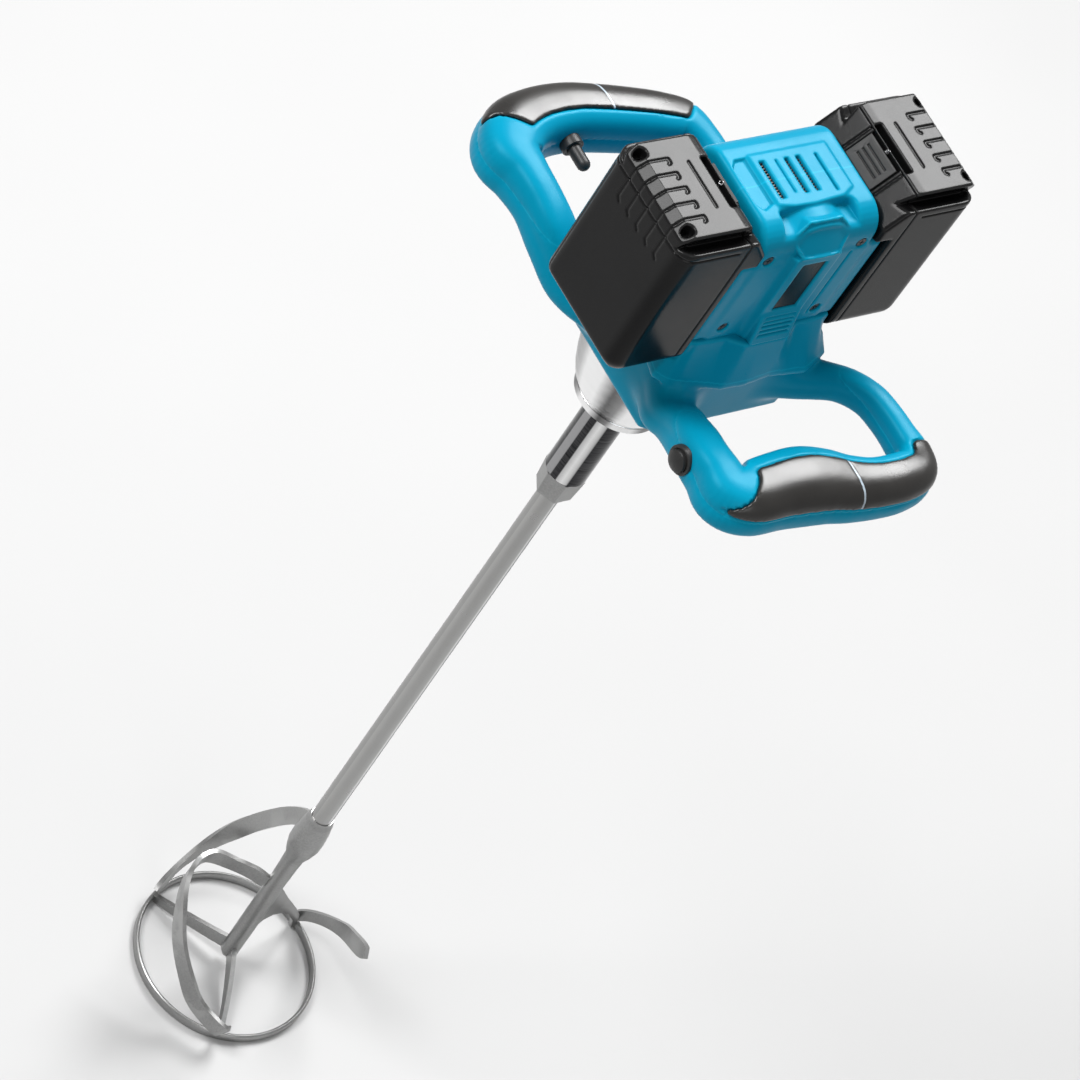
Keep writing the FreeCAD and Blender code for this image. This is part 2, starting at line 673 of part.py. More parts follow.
def dock_block(side):
    """Moulded terminal block with its two blades and centre tab, on one flank's recess floor."""
    x0, x1 = sorted((side * CROWN_HALF_X, side * (CROWN_HALF_X + 1.6)))
    return box(x0, x1, MOTOR_Y - 20, MOTOR_Y + 20, 752, 776)


def dock_blades(side):
    blades = []
    for y in (-14, 0, 14):
        x0, x1 = sorted((side * (CROWN_HALF_X + 1.6), side * (CROWN_HALF_X + 7.0)))
        blades.append(box(x0, x1, MOTOR_Y + y - 0.5, MOTOR_Y + y + 0.5, 754, 772))
    return blades


# ---------------------------------------------------------------- handle frame
# Plan outlines of each handle: x, distance outward from the motor centre line, corner radius.
# The thick loop is the left arm, the grip and the right corner; the thin bar is the right arm.
FRONT_LOOP = [(-46, 8, 0), (-62, 36, 20), (-70.5, 62, 30), (-71, 95, 20), (-75.5, 112, 20),
              (-75.5, 133.5, 19), (-28, 138.5, 60), (16, 143.5, 60), (80, 145, 17), (80, 117, 8),
              (61, 113, 6), (30, 115, 40), (12, 108, 30), (-6, 98, 40), (-47.5, 97.5, 8),
              (-47.5, 72, 30), (-40, 52, 20), (-24, 30, 0)]
FRONT_ARM = [(78, 130, 0), (77, 102, 40), (76, 84, 30), (72, 69, 20), (62, 53, 20), (42, 30, 0), (24, 40, 0),
             (40, 58, 20), (52, 66, 15), (60, 84, 20), (61, 130, 0)]
REAR_LOOP = [(-46, 8, 0), (-66, 36, 20), (-74.5, 60, 30), (-76, 98, 30), (-80, 112, 20), (-80, 138, 18),
             (-60, 152.5, 22), (-24, 154, 40), (20, 143, 60), (55, 133.5, 18), (71, 121, 12), (70.5, 107, 6),
             (52, 103, 6), (8, 114, 60), (-26, 121.5, 40), (-51.5, 121.5, 8), (-51.5, 74, 30),
             (-43.5, 52, 20), (-24, 26, 0)]
REAR_ARM = [(69.5, 118, 0), (70.5, 84, 40), (67, 66, 20), (52, 36, 20), (42, 24, 0), (22, 36, 0),
            (36, 52, 20), (49, 69, 20), (53.5, 86, 30), (53.5, 118, 0)]
LOOP_HALF_Z = 14.5
ARM_HALF_Z = 9.8
LOOP_ROUND = 9.0
ARM_ROUND = 6.0


def corner_arc(before, corner, after, radius):
    """Tangent points and middle of the arc that rounds one corner of a plan outline."""
    to_before, to_after = (before - corner).normalize(), (after - corner).normalize()
    half = to_before.getAngle(to_after) / 2
    reach = radius / math.tan(half)
    bisector = (to_before + to_after).normalize()
    centre = corner + bisector * (radius / math.sin(half))
    return corner + to_before * reach, centre - bisector * radius, corner + to_after * reach


def rounded_outline(points, z):
    """Closed wire of lines and tangent arcs through (x, y, radius) corners."""
    corners = [Vector(x, y, z) for x, y, r in points]
    edges, ends = [], []
    for i, (x, y, radius) in enumerate(points):
        before, after = corners[i - 1], corners[(i + 1) % len(corners)]
        if radius:
            start, middle, end = corner_arc(before, corners[i], after, radius)
            ends.append((start, Part.Arc(start, middle, end).toShape(), end))
        else:
            ends.append((corners[i], None, corners[i]))
    for i, (start, arc, end) in enumerate(ends):
        if arc:
            edges.append(arc)
        following = ends[(i + 1) % len(ends)][0]
        if end.distanceToPoint(following) > 1e-6:
            edges.append(Part.makeLine(end, following))
    return Part.Wire(Part.__sortEdges__(edges))


def in_plan(outline, front):
    """Turns (x, outward distance, radius) corners into (x, y, radius)."""
    sign = -1.0 if front else 1.0
    return [(x, MOTOR_Y + sign * d, r) for x, d, r in outline]


def handle_bar(outline, front, half_z, edge_round, grow=0.0):
    """Extruded handle outline with its upper and lower rims rounded over."""
    face = Part.Face(rounded_outline(in_plan(outline, front), SPLIT_Z - half_z - grow))
    if grow:
        face = face.makeOffset2D(grow, 2)
    bar = face.extrude(Vector(0, 0, 2 * (half_z + grow)))
    levels = (SPLIT_Z - half_z - grow, SPLIT_Z + half_z + grow)

    def rim(edge):
        return min(abs(edge.BoundBox.ZMin - z) + abs(edge.BoundBox.ZMax - z) for z in levels) < 1e-4
    return soften(bar, edge_round + grow, rim)


def handle_bars(grow=0.0):
    return [handle_bar(FRONT_LOOP, True, LOOP_HALF_Z, LOOP_ROUND, grow),
            handle_bar(FRONT_ARM, True, ARM_HALF_Z, ARM_ROUND, grow),
            handle_bar(REAR_LOOP, False, LOOP_HALF_Z, LOOP_ROUND, grow),
            handle_bar(REAR_ARM, False, ARM_HALF_Z, ARM_ROUND, grow)]


PAD_PROUD = 0.9
PAD_BED = 1.4
PAD_LOW_Z = 718.5
FRONT_PAD = [(-45, 109), (-36, 160), (68, 160), (62, 121), (28, 124), (8, 116), (-6, 110)]
REAR_PAD = [(-70, 126), (-90, 150), (-66, 170), (62, 150), (50, 114), (6, 125), (-24, 131), (-50, 131)]


def grip_pad(loop, clip, front):
    """Rubber cover over the top and outer side of one grip."""
    skin = handle_bar(loop, front, LOOP_HALF_Z, LOOP_ROUND, PAD_PROUD)
    bed = handle_bar(loop, front, LOOP_HALF_Z, LOOP_ROUND, -PAD_BED)
    sign = -1.0 if front else 1.0
    reach = prism_z([(x, MOTOR_Y + sign * d) for x, d in clip], PAD_LOW_Z, SPLIT_Z + 30)
    return skin.common(reach).cut(bed)


POD_HALF_X = 50.0
POD_FRONT = -60.5
POD_BACK = 2 * MOTOR_Y - POD_FRONT
EAVES = [(-56, -46.5), (-52, -51.5), (-20, -62), (-4, -62.5), (14, -60.5), (38, -63), (56, -54.5),
         (59, -50)]
EAVES_Z = (717.0, 731.0)
POCKET_FLOOR = 733.5


def belt():
    """Faceted collar between the motor housing and the gear pod."""
    upper = octagon(49.4, -57.5, 29.5, 30, 11.5)
    lower = octagon(49.4, -61.5, 33.5, 27, 14)
    levels = [(upper, FRAME_TOP), (lower, SPLIT_Z), (lower, EAVES_Z[0])]
    wires = [Part.makePolygon([Vector(x, y, z) for x, y in pts + pts[:1]]) for pts, z in levels]
    return loft(wires, True)


def eaves():
    """Ledge that runs out under the packs, at the front and, turned half round, at the back."""
    front = EAVES + [(49, -20), (-49, -20)]
    back = [(-x, 2 * MOTOR_Y - y) for x, y in front]
    return [prism_z(points, EAVES_Z[0], EAVES_Z[1]) for points in (front, back)]


def gear_pod():
    """Moulded body round the gear cup, with a bevelled underside."""
    upper = octagon(POD_HALF_X, POD_FRONT, POD_BACK, 7, 5)
    base = octagon(POD_HALF_X - 3, POD_FRONT + 3, POD_BACK - 3, 7, 5)
    levels = [(upper, EAVES_Z[0] + 1), (upper, POD_BOTTOM + 3), (base, POD_BOTTOM)]
    wires = [Part.makePolygon([Vector(x, y, z) for x, y in pts + pts[:1]]) for pts, z in levels]
    return loft(wires, True)


def pack_pockets(grow=0.0):
    """Room above the thick arms for the feet of both packs."""
    y0, y1 = MOTOR_Y - PACK_HALF_Y - 0.8 - grow, MOTOR_Y + PACK_HALF_Y + 0.8 + grow
    inner = HOUSING_HALF_X - 0.4 - grow
    return [box(x0, x1, y0, y1, POCKET_FLOOR - grow, 780) for x0, x1 in ((-120, -inner), (inner, 120))]


def frame_cavity():
    room = prism_z(octagon(46.8, -56.0, 28.0, 17, 17), POD_BOTTOM + 3.0, FRAME_TOP - 3.0)
    mouth = prism_z(octagon(CAVITY_HALF_X, FRONT_Y + WALL, BACK_Y - WALL, 2, 2),
                    FRAME_TOP - 5, FRAME_TOP + 1)
    return room.fuse(mouth)


def arm_roots():
    """Gussets that carry the thick arms down into the pod."""
    roots = []
    for sign, low in ((-1, 694.0), (1, 699.0)):
        y0 = MOTOR_Y + sign * 20
        y1 = MOTOR_Y + sign * 58
        wide = Part.makePolygon([Vector(x, y0, z) for x, z in
                                 [(-49.4, low), (-49.4, 740), (-20, 740), (-20, low), (-49.4, low)]])
        slim = Part.makePolygon([Vector(x, y1, z) for x, z in
                                 [(-66, 712), (-66, 736), (-46, 736), (-46, 712), (-66, 712)]])
        roots.append(loft([wide, slim], True))
    return roots


def handle_frame():
    outer = fuse([belt(), gear_pod()] + eaves() + handle_bars() + arm_roots())
    hollows = [bar.cut(pack_pockets(WALL)) for bar in handle_bars(-WALL)]
    cuts = hollows + pack_pockets() + [
        frame_cavity(), prism_z(CUP_OUTLINE_CLEAR, CUP_BOTTOM - 0.2, LID_TOP + 0.3),
        cyl(44.2, POD_BOTTOM - 1, CUP_BOTTOM)]
    cuts += [cyl(2.7, POD_BOTTOM - 3, 690, x, y) for x, y in POD_BOLTS]
    cuts += [cyl(4.8, POD_BOTTOM - 6, POD_BOTTOM + 2.6, x, y) for x, y in POD_BOLTS]
    return outer.cut(cuts)


CUP_OUTLINE_CLEAR = octagon(46.5, -55.8, 27.8, 17, 17)


def frame_half(frame, upper):
    z0, z1 = (SPLIT_Z, FRAME_TOP) if upper else (POD_BOTTOM - 5, SPLIT_Z)
    half = frame.common(box(-140, 140, -220, 220, z0, z1))
    return biggest(half)


# ---------------------------------------------------------------- buttons in the handles
START_X = -23.0
START_Z = 724.0
START_FACE_Y = 106.5
LOCK_Y = MOTOR_Y - 86.0
LOCK_Z = 722.0
LOCK_FACE_X = -71.6
BUTTON_R = 3.9


def start_rod(radius, y0, y1):
    """Cylinder on the plunger's axis, measured from the inner face of the grip."""
    return rod(radius, (START_X, START_FACE_Y + y0, START_Z), (START_X, START_FACE_Y + y1, START_Z))


def start_button():
    """Plunger on the inner side of the rear grip."""
    stem = start_rod(BUTTON_R, 6.0, -18.0)
    tip = Part.makeSphere(BUTTON_R, Vector(START_X, START_FACE_Y - 18.0, START_Z))
    foot = start_rod(6.0, 6.0, 8.0)
    return fuse([stem, tip, foot]).removeSplitter()


def start_collar():
    """Threaded bezel that guides the plunger through the handle wall."""
    collar = fuse([start_rod(6.4, -7.0, -1.0), start_rod(5.2, -1.0, 5.0)])
    return collar.cut(start_rod(BUTTON_R + RUN, -36.0, 24.0))


def micro_switches():
    """Two identical switches, one behind each button."""
    behind_start = box(START_X - 9, START_X + 9, START_FACE_Y + 18.1, START_FACE_Y + 25.1,
                       START_Z - 6, START_Z + 6)
    behind_lock = box(-61.0, -54.0, LOCK_Y - 9, LOCK_Y + 9, LOCK_Z - 6, LOCK_Z + 6)
    return Part.makeCompound([behind_start, behind_lock])


def start_spring():
    return spring((START_X, START_FACE_Y + 8.5, START_Z), (0, 1, 0), 9.0, 4.2, 5)


def lock_button():
    """Round side button on the outer flank of the front handle's left arm."""
    outer = (LOCK_FACE_X - 3.2, LOCK_Y, LOCK_Z)
    cap = rod(6.3, outer, (LOCK_FACE_X + 3.2, LOCK_Y, LOCK_Z))
    dome = Part.makeSphere(12.0, Vector(LOCK_FACE_X - 3.2 + 10.2, LOCK_Y, LOCK_Z))
    dome = dome.common(rod(6.3, (LOCK_FACE_X - 8, LOCK_Y, LOCK_Z), (LOCK_FACE_X - 3.2, LOCK_Y, LOCK_Z)))
    return fuse([cap, dome]).removeSplitter()


def lock_collar():
    ring = rod(8.4, (LOCK_FACE_X - 1.2, LOCK_Y, LOCK_Z), (LOCK_FACE_X + 2.4, LOCK_Y, LOCK_Z))
    return ring.cut(rod(6.3 + RUN, (-90, LOCK_Y, LOCK_Z), (-50, LOCK_Y, LOCK_Z)))


def spring(start, axis, length, radius, turns, wire=0.4):
    """Helical compression spring."""
    helix = Part.makeHelix(length / turns, length, radius)
    profile = Part.Wire(Part.makeCircle(wire, Vector(radius, 0, 0), Vector(0, 1, 0)))
    coil = Part.Wire(helix.Edges).makePipeShell([profile], True, True)
    coil = Part.Solid(coil) if coil.ShapeType == "Shell" else coil
    turn = FreeCAD.Rotation(UP, Vector(*axis))
    coil.Placement = FreeCAD.Placement(Vector(*start), turn)
    return coil


def wiring():
    """Two-core cable from the start switch down the rear left arm to the control board."""
    route = [(-33, 118, 724), (-50, 118, 724), (-62, 106, 724), (-63.5, 88, 723), (-63, 66, 722),
             (-60, 46, 720), (-51, 31, 721), (-44.2, 23.2, 727.2), (-37.8, 15.8, 735.2), (-32.8, 8.8, 742),
             (-32.0, 8, 756), (-32.0, 7.5, 785)]
    curve = Part.BSplineCurve()
    curve.interpolate([Vector(x, y, z) for x, y, z in route])
    path = Part.Wire(curve.toShape())
    start, along = Vector(*route[0]), curve.tangent(curve.FirstParameter)[0]
    profile = Part.Wire(Part.makeCircle(1.8, start, along))
    return path.makePipeShell([profile], True, False)


# ---------------------------------------------------------------- battery packs, modelled on +X
LATCH_SLOPE = math.atan2(PACK_TOP - LATCH_FACE_LOW, PACK_CREASE - PACK_IN)
PACK_Y0 = MOTOR_Y - PACK_HALF_Y
PACK_Y1 = MOTOR_Y + PACK_HALF_Y


def pack_side(points, y0=PACK_Y0, y1=PACK_Y1):
    return prism_y(points, y0, y1)


def pack_outer_block(inset=0.0):
    """Deep outer half of the pack: rounded foot and shoulders that step down beside the raised top."""
    lo, hi = PACK_CREASE + (0 if inset == 0 else -1), PACK_OUT - inset
    top, foot = PACK_TOP - inset, PACK_BOTTOM + inset
    block = pack_side([(lo, foot), (hi - 8, foot), (hi, foot + 9), (hi, top - 1.5), (hi - 1.5, top),
                       (lo, top)], PACK_Y0 + inset, PACK_Y1 - inset)
    return block


SHOULDER_DROP = 8.5
TOP_HALF_Y = 30.7


def shoulder_cut(x0, x1, inset=0.0):
    """Bevelled strips that step the raised top down to both flanks."""
    cuts = []
    for sign in (-1, 1):
        inner, outer = MOTOR_Y + sign * (TOP_HALF_Y - inset), MOTOR_Y + sign * (PACK_HALF_Y + 2)
        wedge = prism_x([(inner, PACK_TOP - 2.6 - inset), (inner, PACK_TOP + 5), (outer, PACK_TOP + 5),
                         (outer, PACK_TOP - SHOULDER_DROP - 2.5 - inset)], x0, x1)
        cuts.append(wedge)
    return cuts


CELL_R = 9.0
CELL_LENGTH = 65.0
CELL_X = (67.4, 86.6)
CELL_Z0 = 750.0
CELL_PITCH = 18.7


def case_screw_points():
    return [(PACK_OUT - 4.5, MOTOR_Y + s * 25.5) for s in (-1, 1)]


def battery_outer_case():
    body = pack_outer_block()
    body = body.cut(shoulder_cut(PACK_CREASE - 1, PACK_OUT + 1))
    hollow = pack_outer_block(WALL).cut(shoulder_cut(PACK_CREASE - 1, PACK_OUT + 1, WALL))
    body = body.cut(hollow)
    body = body.cut(box(PACK_CREASE - 1, 62.0, MOTOR_Y - 16.5, MOTOR_Y + 16.5, PACK_TOP - 6, PACK_TOP + 1))
    tray = box(PACK_CREASE, 63.6, MOTOR_Y - 18.5, MOTOR_Y + 18.5, PACK_TOP - 7.6, PACK_TOP - WALL)
    tray = tray.cut(box(PACK_CREASE - 1, 62.0, MOTOR_Y - 16.5, MOTOR_Y + 16.5, PACK_TOP - 6, PACK_TOP + 1))
    body = body.fuse(tray)
    for k in range(5):
        y = MOTOR_Y - 18.0 + 9.0 * k
        body = body.cut(box(76.0, PACK_OUT + 1, y - 0.45, y + 0.45, PACK_TOP - 0.8, PACK_TOP + 1))
        body = body.cut(box(PACK_OUT - 0.8, PACK_OUT + 1, y - 0.45, y + 0.45, PACK_TOP - 26, PACK_TOP + 1))
    for x, y in case_screw_points():
        body = body.fuse(cyl(4.6, PACK_TOP - 11.0, PACK_TOP - 1.0, x - 1.5, y))
        body = body.cut(cyl(3.4, PACK_TOP - 9.0, PACK_TOP + 2, x - 1.5, y))
    return biggest(body.removeSplitter())


def inner_case_outline(inset=0.0):
    top_in = PACK_IN + inset
    return [(PACK_CREASE, PACK_BOTTOM + inset), (PACK_CREASE, PACK_TOP - inset * 1.6),
            (top_in, LATCH_FACE_LOW - inset * 0.7), (top_in, SHOULDER_TOP + 1.0 + inset),
            (PACK_FOOT_IN + inset, SHOULDER_TOP + 1.0 + inset), (PACK_FOOT_IN + inset, PACK_BOTTOM + 4.0),
            (PACK_FOOT_IN + 4.0, PACK_BOTTOM + inset)]


BUTTON_HALF_Y = 13.0
BUTTON_SPAN = 17.0
BUTTON_DEEP = 4.0
BUTTON_START = 5.5
BUTTON_TRAVEL = 3.0


def on_latch_face(shape):
    """Places a shape built flat (x up the slope, z outward normal) onto the sloping latch face."""
    turn = FreeCAD.Rotation(Vector(0, 1, 0), -math.degrees(LATCH_SLOPE))
    shape.Placement = FreeCAD.Placement(Vector(PACK_IN, MOTOR_Y, LATCH_FACE_LOW), turn)
    return shape


def latch_pocket(clear=0.0):
    pocket = box(BUTTON_START - clear, BUTTON_START + BUTTON_SPAN + BUTTON_TRAVEL + clear,
                 -BUTTON_HALF_Y - clear, BUTTON_HALF_Y + clear, -BUTTON_DEEP, 2)
    return on_latch_face(pocket)


def battery_inner_case():
    body = pack_side(inner_case_outline())
    body = body.cut(shoulder_cut(PACK_IN - 1, PACK_CREASE + 1))
    rails = box(PACK_IN + 0.2, PACK_FOOT_IN + 1, MOTOR_Y - RAIL_HALF_Y, MOTOR_Y + RAIL_HALF_Y,
                RAIL_BOTTOM + 6.0, SHOULDER_TOP + 2)
    body = body.fuse(rails)
    hollow = box(PACK_FOOT_IN + WALL, PACK_CREASE + 1, PACK_Y0 + WALL, PACK_Y1 - WALL,
                 PACK_BOTTOM + 4 + WALL, SHOULDER_TOP + 1)
    body = body.cut(hollow)
    body = body.cut(box(PACK_IN + 4, PACK_CREASE + 1, MOTOR_Y - 20, MOTOR_Y + 20,
                        SHOULDER_TOP - 8, LATCH_FACE_LOW - 6))
    body = body.cut(latch_pocket(0.2))
    for y in (-14, 0, 14):
        body = body.cut(box(PACK_IN - 1, PACK_FOOT_IN - 2.0, MOTOR_Y + y - 1.6, MOTOR_Y + y + 1.6,
                            RAIL_BOTTOM, 776))
    body = body.cut(box(PACK_IN - 1, CROWN_HALF_X + 2.2, MOTOR_Y - 21, MOTOR_Y + 21, RAIL_BOTTOM, 777))
    return biggest(body.removeSplitter())


def release_button():
    plate = box(BUTTON_START, BUTTON_START + BUTTON_SPAN, -BUTTON_HALF_Y, BUTTON_HALF_Y,
                -BUTTON_DEEP + 0.3, 0.7)
    for k in range(3):
        x = BUTTON_START + 5.0 + 3.4 * k
        plate = plate.cut(box(x, x + 1.0, -BUTTON_HALF_Y + 4, BUTTON_HALF_Y - 4, -0.1, 2))
    return on_latch_face(plate)


def release_spring():
    wire = 0.25
    level = -BUTTON_DEEP / 2 + 0.2
    rest, stop = BUTTON_START + BUTTON_SPAN + wire + 0.05, BUTTON_START + BUTTON_SPAN + BUTTON_TRAVEL - wire
    start = on_latch_face(Part.Vertex(rest, 0, level)).Point
    axis = on_latch_face(Part.Vertex(stop, 0, level)).Point - start
    return spring((start.x, start.y, start.z), (axis.x, axis.y, axis.z), axis.Length, 1.1, 3, wire)


def battery_cells():
    cells = []
    for x in CELL_X:
        for k in range(5):
            z = CELL_Z0 + CELL_PITCH * k
            cells.append(rod(CELL_R, (x, MOTOR_Y - CELL_LENGTH / 2, z), (x, MOTOR_Y + CELL_LENGTH / 2, z)))
    return Part.makeCompound(cells)


def battery_board():
    return box(PACK_FOOT_IN + 4.0, PACK_FOOT_IN + 5.6, MOTOR_Y - 31, MOTOR_Y + 31, 743.5, 808)


def battery_screws():
    screws = []
    for x, y in case_screw_points():
        body = cyl(3.2, PACK_TOP - 9.0, PACK_TOP - 6.4, x - 1.5, y)
        slot = box(x - 4.0, x + 1.0, y - 0.4, y + 0.4, PACK_TOP - 7.6, PACK_TOP - 6)
        screws.append(body.cut(slot))
    return Part.makeCompound(screws)


# ---------------------------------------------------------------- write every node
def save_paddle():
    hub, ring = paddle_hub(), paddle_ring()
    save("paddle_ring", ring)
    save("paddle_hub", hub)
    save("paddle_spokes", paddle_spokes(hub, ring))
    save("paddle_blades", paddle_blades(hub, ring))
    save("mixing_rod", mixing_rod())
    save("rod_nut", rod_nut())
    save("coupling_sleeve", coupling_sleeve())
    save("output_spindle", output_spindle())


def save_gearbox():
    save("spindle_gear", spindle_gear())
    save("layshaft", layshaft())
    save("layshaft_gear", layshaft_gear())
    save("gear_case", gear_case())
    save("gear_case_lid", gear_case_lid())
    save("gear_case_lid_screws", lid_screws())
    save("nose_cap", nose_cap())
    save("spindle_seal", spindle_seal())
    save("pod_bolts", pod_bolts())
    save("spindle_bearings", spindle_bearings())
    save("layshaft_bearings", layshaft_bearings())
    save("motor_bearings", motor_bearings())


def save_motor():
    save("motor_stator", motor_stator())
    save("stator_windings", stator_windings())
    save("rotor_core", rotor_core())
    save("motor_shaft", motor_shaft())
    save("cooling_fan", cooling_fan())
    save("motor_end_plate", motor_end_plate())
    save("control_board", control_board())
    save("heat_sink", heat_sink())


def save_housing():
    shell = motor_housing()
    save("housing_front", housing_half(shell, True))
    save("housing_rear", housing_half(shell, False))
    save("housing_screws", housing_screws())
    save("display_window", display_window())
    save("display_board", display_board())


def save_handles():
    frame = handle_frame()
    front_pad = grip_pad(FRONT_LOOP, FRONT_PAD, True)
    rear_pad = grip_pad(REAR_LOOP, REAR_PAD, False)
    start_hole = start_rod(6.45, -7.5, 9.0)
    lock_hole = rod(8.5, (-95, LOCK_Y, LOCK_Z), (LOCK_FACE_X + 4, LOCK_Y, LOCK_Z))
    frame = frame.cut([front_pad, rear_pad, start_hole, lock_hole])
    save("handle_frame_upper", frame_half(frame, True))
    save("handle_frame_lower", frame_half(frame, False))
    save("grip_front", front_pad)
    save("grip_rear", rear_pad)
    save("start_button", start_button())
    save("start_collar", start_collar())
    save("micro_switches", micro_switches())
    save("start_spring", start_spring())
    save("lock_button", lock_button())
    save("lock_collar", lock_collar())
    save("wiring", wiring())


def save_pack(name, place):
    save("battery_" + name + "_outer_case", place(battery_outer_case()))
    save("battery_" + name + "_inner_case", place(battery_inner_case()))
    save("battery_" + name + "_release_button", place(release_button()))
    save("battery_" + name + "_release_spring", place(release_spring()))
    save("battery_" + name + "_cells", place(battery_cells()))
    save("battery_" + name + "_board", place(battery_board()))
    save("battery_" + name + "_screws", place(battery_screws()))


def save_docks():
    save("dock_blocks", Part.makeCompound([dock_block(side) for side in (-1, 1)]))
    save("dock_blades", Part.makeCompound([blade for side in (-1, 1) for blade in dock_blades(side)]))


save_paddle()
save_gearbox()
save_motor()
save_housing()
save_handles()
save_pack("right", lambda shape: shape)
save_pack("left", mirror_x)
save_docks()
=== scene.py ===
import json
import math

import bmesh
import bpy
import numpy as np
from mathutils import Matrix, Vector


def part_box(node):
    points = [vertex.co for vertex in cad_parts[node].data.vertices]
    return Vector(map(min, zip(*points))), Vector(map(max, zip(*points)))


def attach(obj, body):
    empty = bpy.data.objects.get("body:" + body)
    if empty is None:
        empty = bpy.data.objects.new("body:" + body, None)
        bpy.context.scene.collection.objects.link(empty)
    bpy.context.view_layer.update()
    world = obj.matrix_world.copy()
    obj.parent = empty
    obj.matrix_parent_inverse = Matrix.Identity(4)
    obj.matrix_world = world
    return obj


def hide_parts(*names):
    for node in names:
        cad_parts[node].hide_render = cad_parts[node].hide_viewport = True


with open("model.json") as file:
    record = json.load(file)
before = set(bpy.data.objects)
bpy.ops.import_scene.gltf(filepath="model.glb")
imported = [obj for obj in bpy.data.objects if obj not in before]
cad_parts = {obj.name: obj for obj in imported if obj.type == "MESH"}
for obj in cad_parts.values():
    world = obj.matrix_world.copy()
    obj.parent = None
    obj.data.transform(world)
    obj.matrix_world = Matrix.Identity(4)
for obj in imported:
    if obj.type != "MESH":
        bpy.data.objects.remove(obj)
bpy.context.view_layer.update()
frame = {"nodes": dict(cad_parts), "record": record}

MM = 0.001

# ---------------------------------------------------------------- sizes read from the frame, in millimetres


def box_mm(node):
    low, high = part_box(node)
    return np.array(low) / MM, np.array(high) / MM


HOUSING_LOW, HOUSING_HIGH = box_mm("housing_front")
REAR_LOW, REAR_HIGH = box_mm("housing_rear")
FRAME_LOW = box_mm("handle_frame_lower")[0]
WINDOW_LOW, WINDOW_HIGH = box_mm("display_window")
OUTER_LOW, OUTER_HIGH = box_mm("battery_right_outer_case")
INNER_LOW = box_mm("battery_right_inner_case")[0]

MOTOR_Y = REAR_LOW[1]                # parting plane of the motor housing
SPLIT_Z = 724.0                      # parting plane of the handle frame
POD_BOTTOM = FRAME_LOW[2]
BELT_TOP = HOUSING_LOW[2]
HOUSING_TOP = REAR_HIGH[2]
SHOULDER_TOP = 814.0
HOUSING_HALF_X = HOUSING_HIGH[0]
CROWN_HALF_X = INNER_LOW[0] - 0.6
BACK_Y = REAR_HIGH[1]
FRONT_Y = 2 * MOTOR_Y - BACK_Y


# ---------------------------------------------------------------- distance fields
class Field:
    """A block of space sampled on a regular grid, holding signed distances in millimetres."""

    def __init__(self, low, high, step):
        self.low = np.array(low, float)
        self.step = step
        counts = np.ceil((np.array(high, float) - self.low) / step).astype(int) + 1
        axes = [self.low[k] + step * np.arange(counts[k]) for k in range(3)]
        self.x = axes[0][:, None, None]
        self.y = axes[1][None, :, None]
        self.z = axes[2][None, None, :]

    def axis(self, name):
        return {"x": self.x, "y": self.y, "z": self.z}[name]


def join(a, b, k=0.0):
    """Union of two fields, blended over k."""
    if k == 0:
        return np.minimum(a, b)
    h = np.clip(0.5 + 0.5 * (b - a) / k, 0, 1)
    return b + (a - b) * h - k * h * (1 - h)


def carve(a, b, k=0.0):
    """Takes b away from a, with the edge rounded over k."""
    return -join(-a, b, k)


def overlap(a, b, k=0.0):
    return -join(-a, -b, k)


def block(f, low, high, radius):
    """Box with rounded edges."""
    centre, half = (np.array(low) + high) / 2, (np.array(high) - low) / 2 - radius
    qx, qy, qz = (np.abs(f.axis(n) - centre[k]) - half[k] for k, n in enumerate("xyz"))
    outside = np.sqrt(np.maximum(qx, 0) ** 2 + np.maximum(qy, 0) ** 2 + np.maximum(qz, 0) ** 2)
    return outside + np.minimum(np.maximum(np.maximum(qx, qy), qz), 0) - radius


def outline_distance(u, v, corners):
    """Signed distance to a closed polygon in the (u, v) plane."""
    shape = np.broadcast(u, v).shape
    nearest = np.full(shape, 1e9)
    inside = np.zeros(shape, bool)
    for k, (u1, v1) in enumerate(corners):
        u0, v0 = corners[k - 1]
        du, dv = u1 - u0, v1 - v0
        t = np.clip(((u - u0) * du + (v - v0) * dv) / (du * du + dv * dv), 0, 1)
        nearest = np.minimum(nearest, np.hypot(u - u0 - t * du, v - v0 - t * dv))
        if dv:
            crosses = (v0 <= v) != (v1 <= v)
            inside ^= crosses & (u < u0 + (v - v0) * du / dv)
    return np.where(inside, -nearest, nearest)


def extrude(flat, along, low, high, radius):
    """Prism from a flat distance map, between low and high on the third axis, edges rounded."""
    q1 = flat + radius
    q2 = np.abs(along - (low + high) / 2) - (high - low) / 2 + radius
    return np.hypot(np.maximum(q1, 0), np.maximum(q2, 0)) + np.minimum(np.maximum(q1, q2), 0) - radius


def prism(f, axis, corners, low, high, radius):
    names = [n for n in "xyz" if n != axis]
    flat = outline_distance(f.axis(names[0]), f.axis(names[1]), corners)
    return extrude(flat, f.axis(axis), low, high, radius)


def bar(f, axis, centre, radius, low, high, edge=0.0):
    """Cylinder along an axis through a centre given on the two other axes."""
    names = [n for n in "xyz" if n != axis]
    flat = np.hypot(f.axis(names[0]) - centre[0], f.axis(names[1]) - centre[1]) - radius
    return extrude(flat, f.axis(axis), low, high, edge)


CUBE = [(i, j, k) for i in (0, 1) for j in (0, 1) for k in (0, 1)]
CUBE_EDGES = [(a, b) for a in range(8) for b in range(a + 1, 8)
              if sum(abs(p - q) for p, q in zip(CUBE[a], CUBE[b])) == 1]


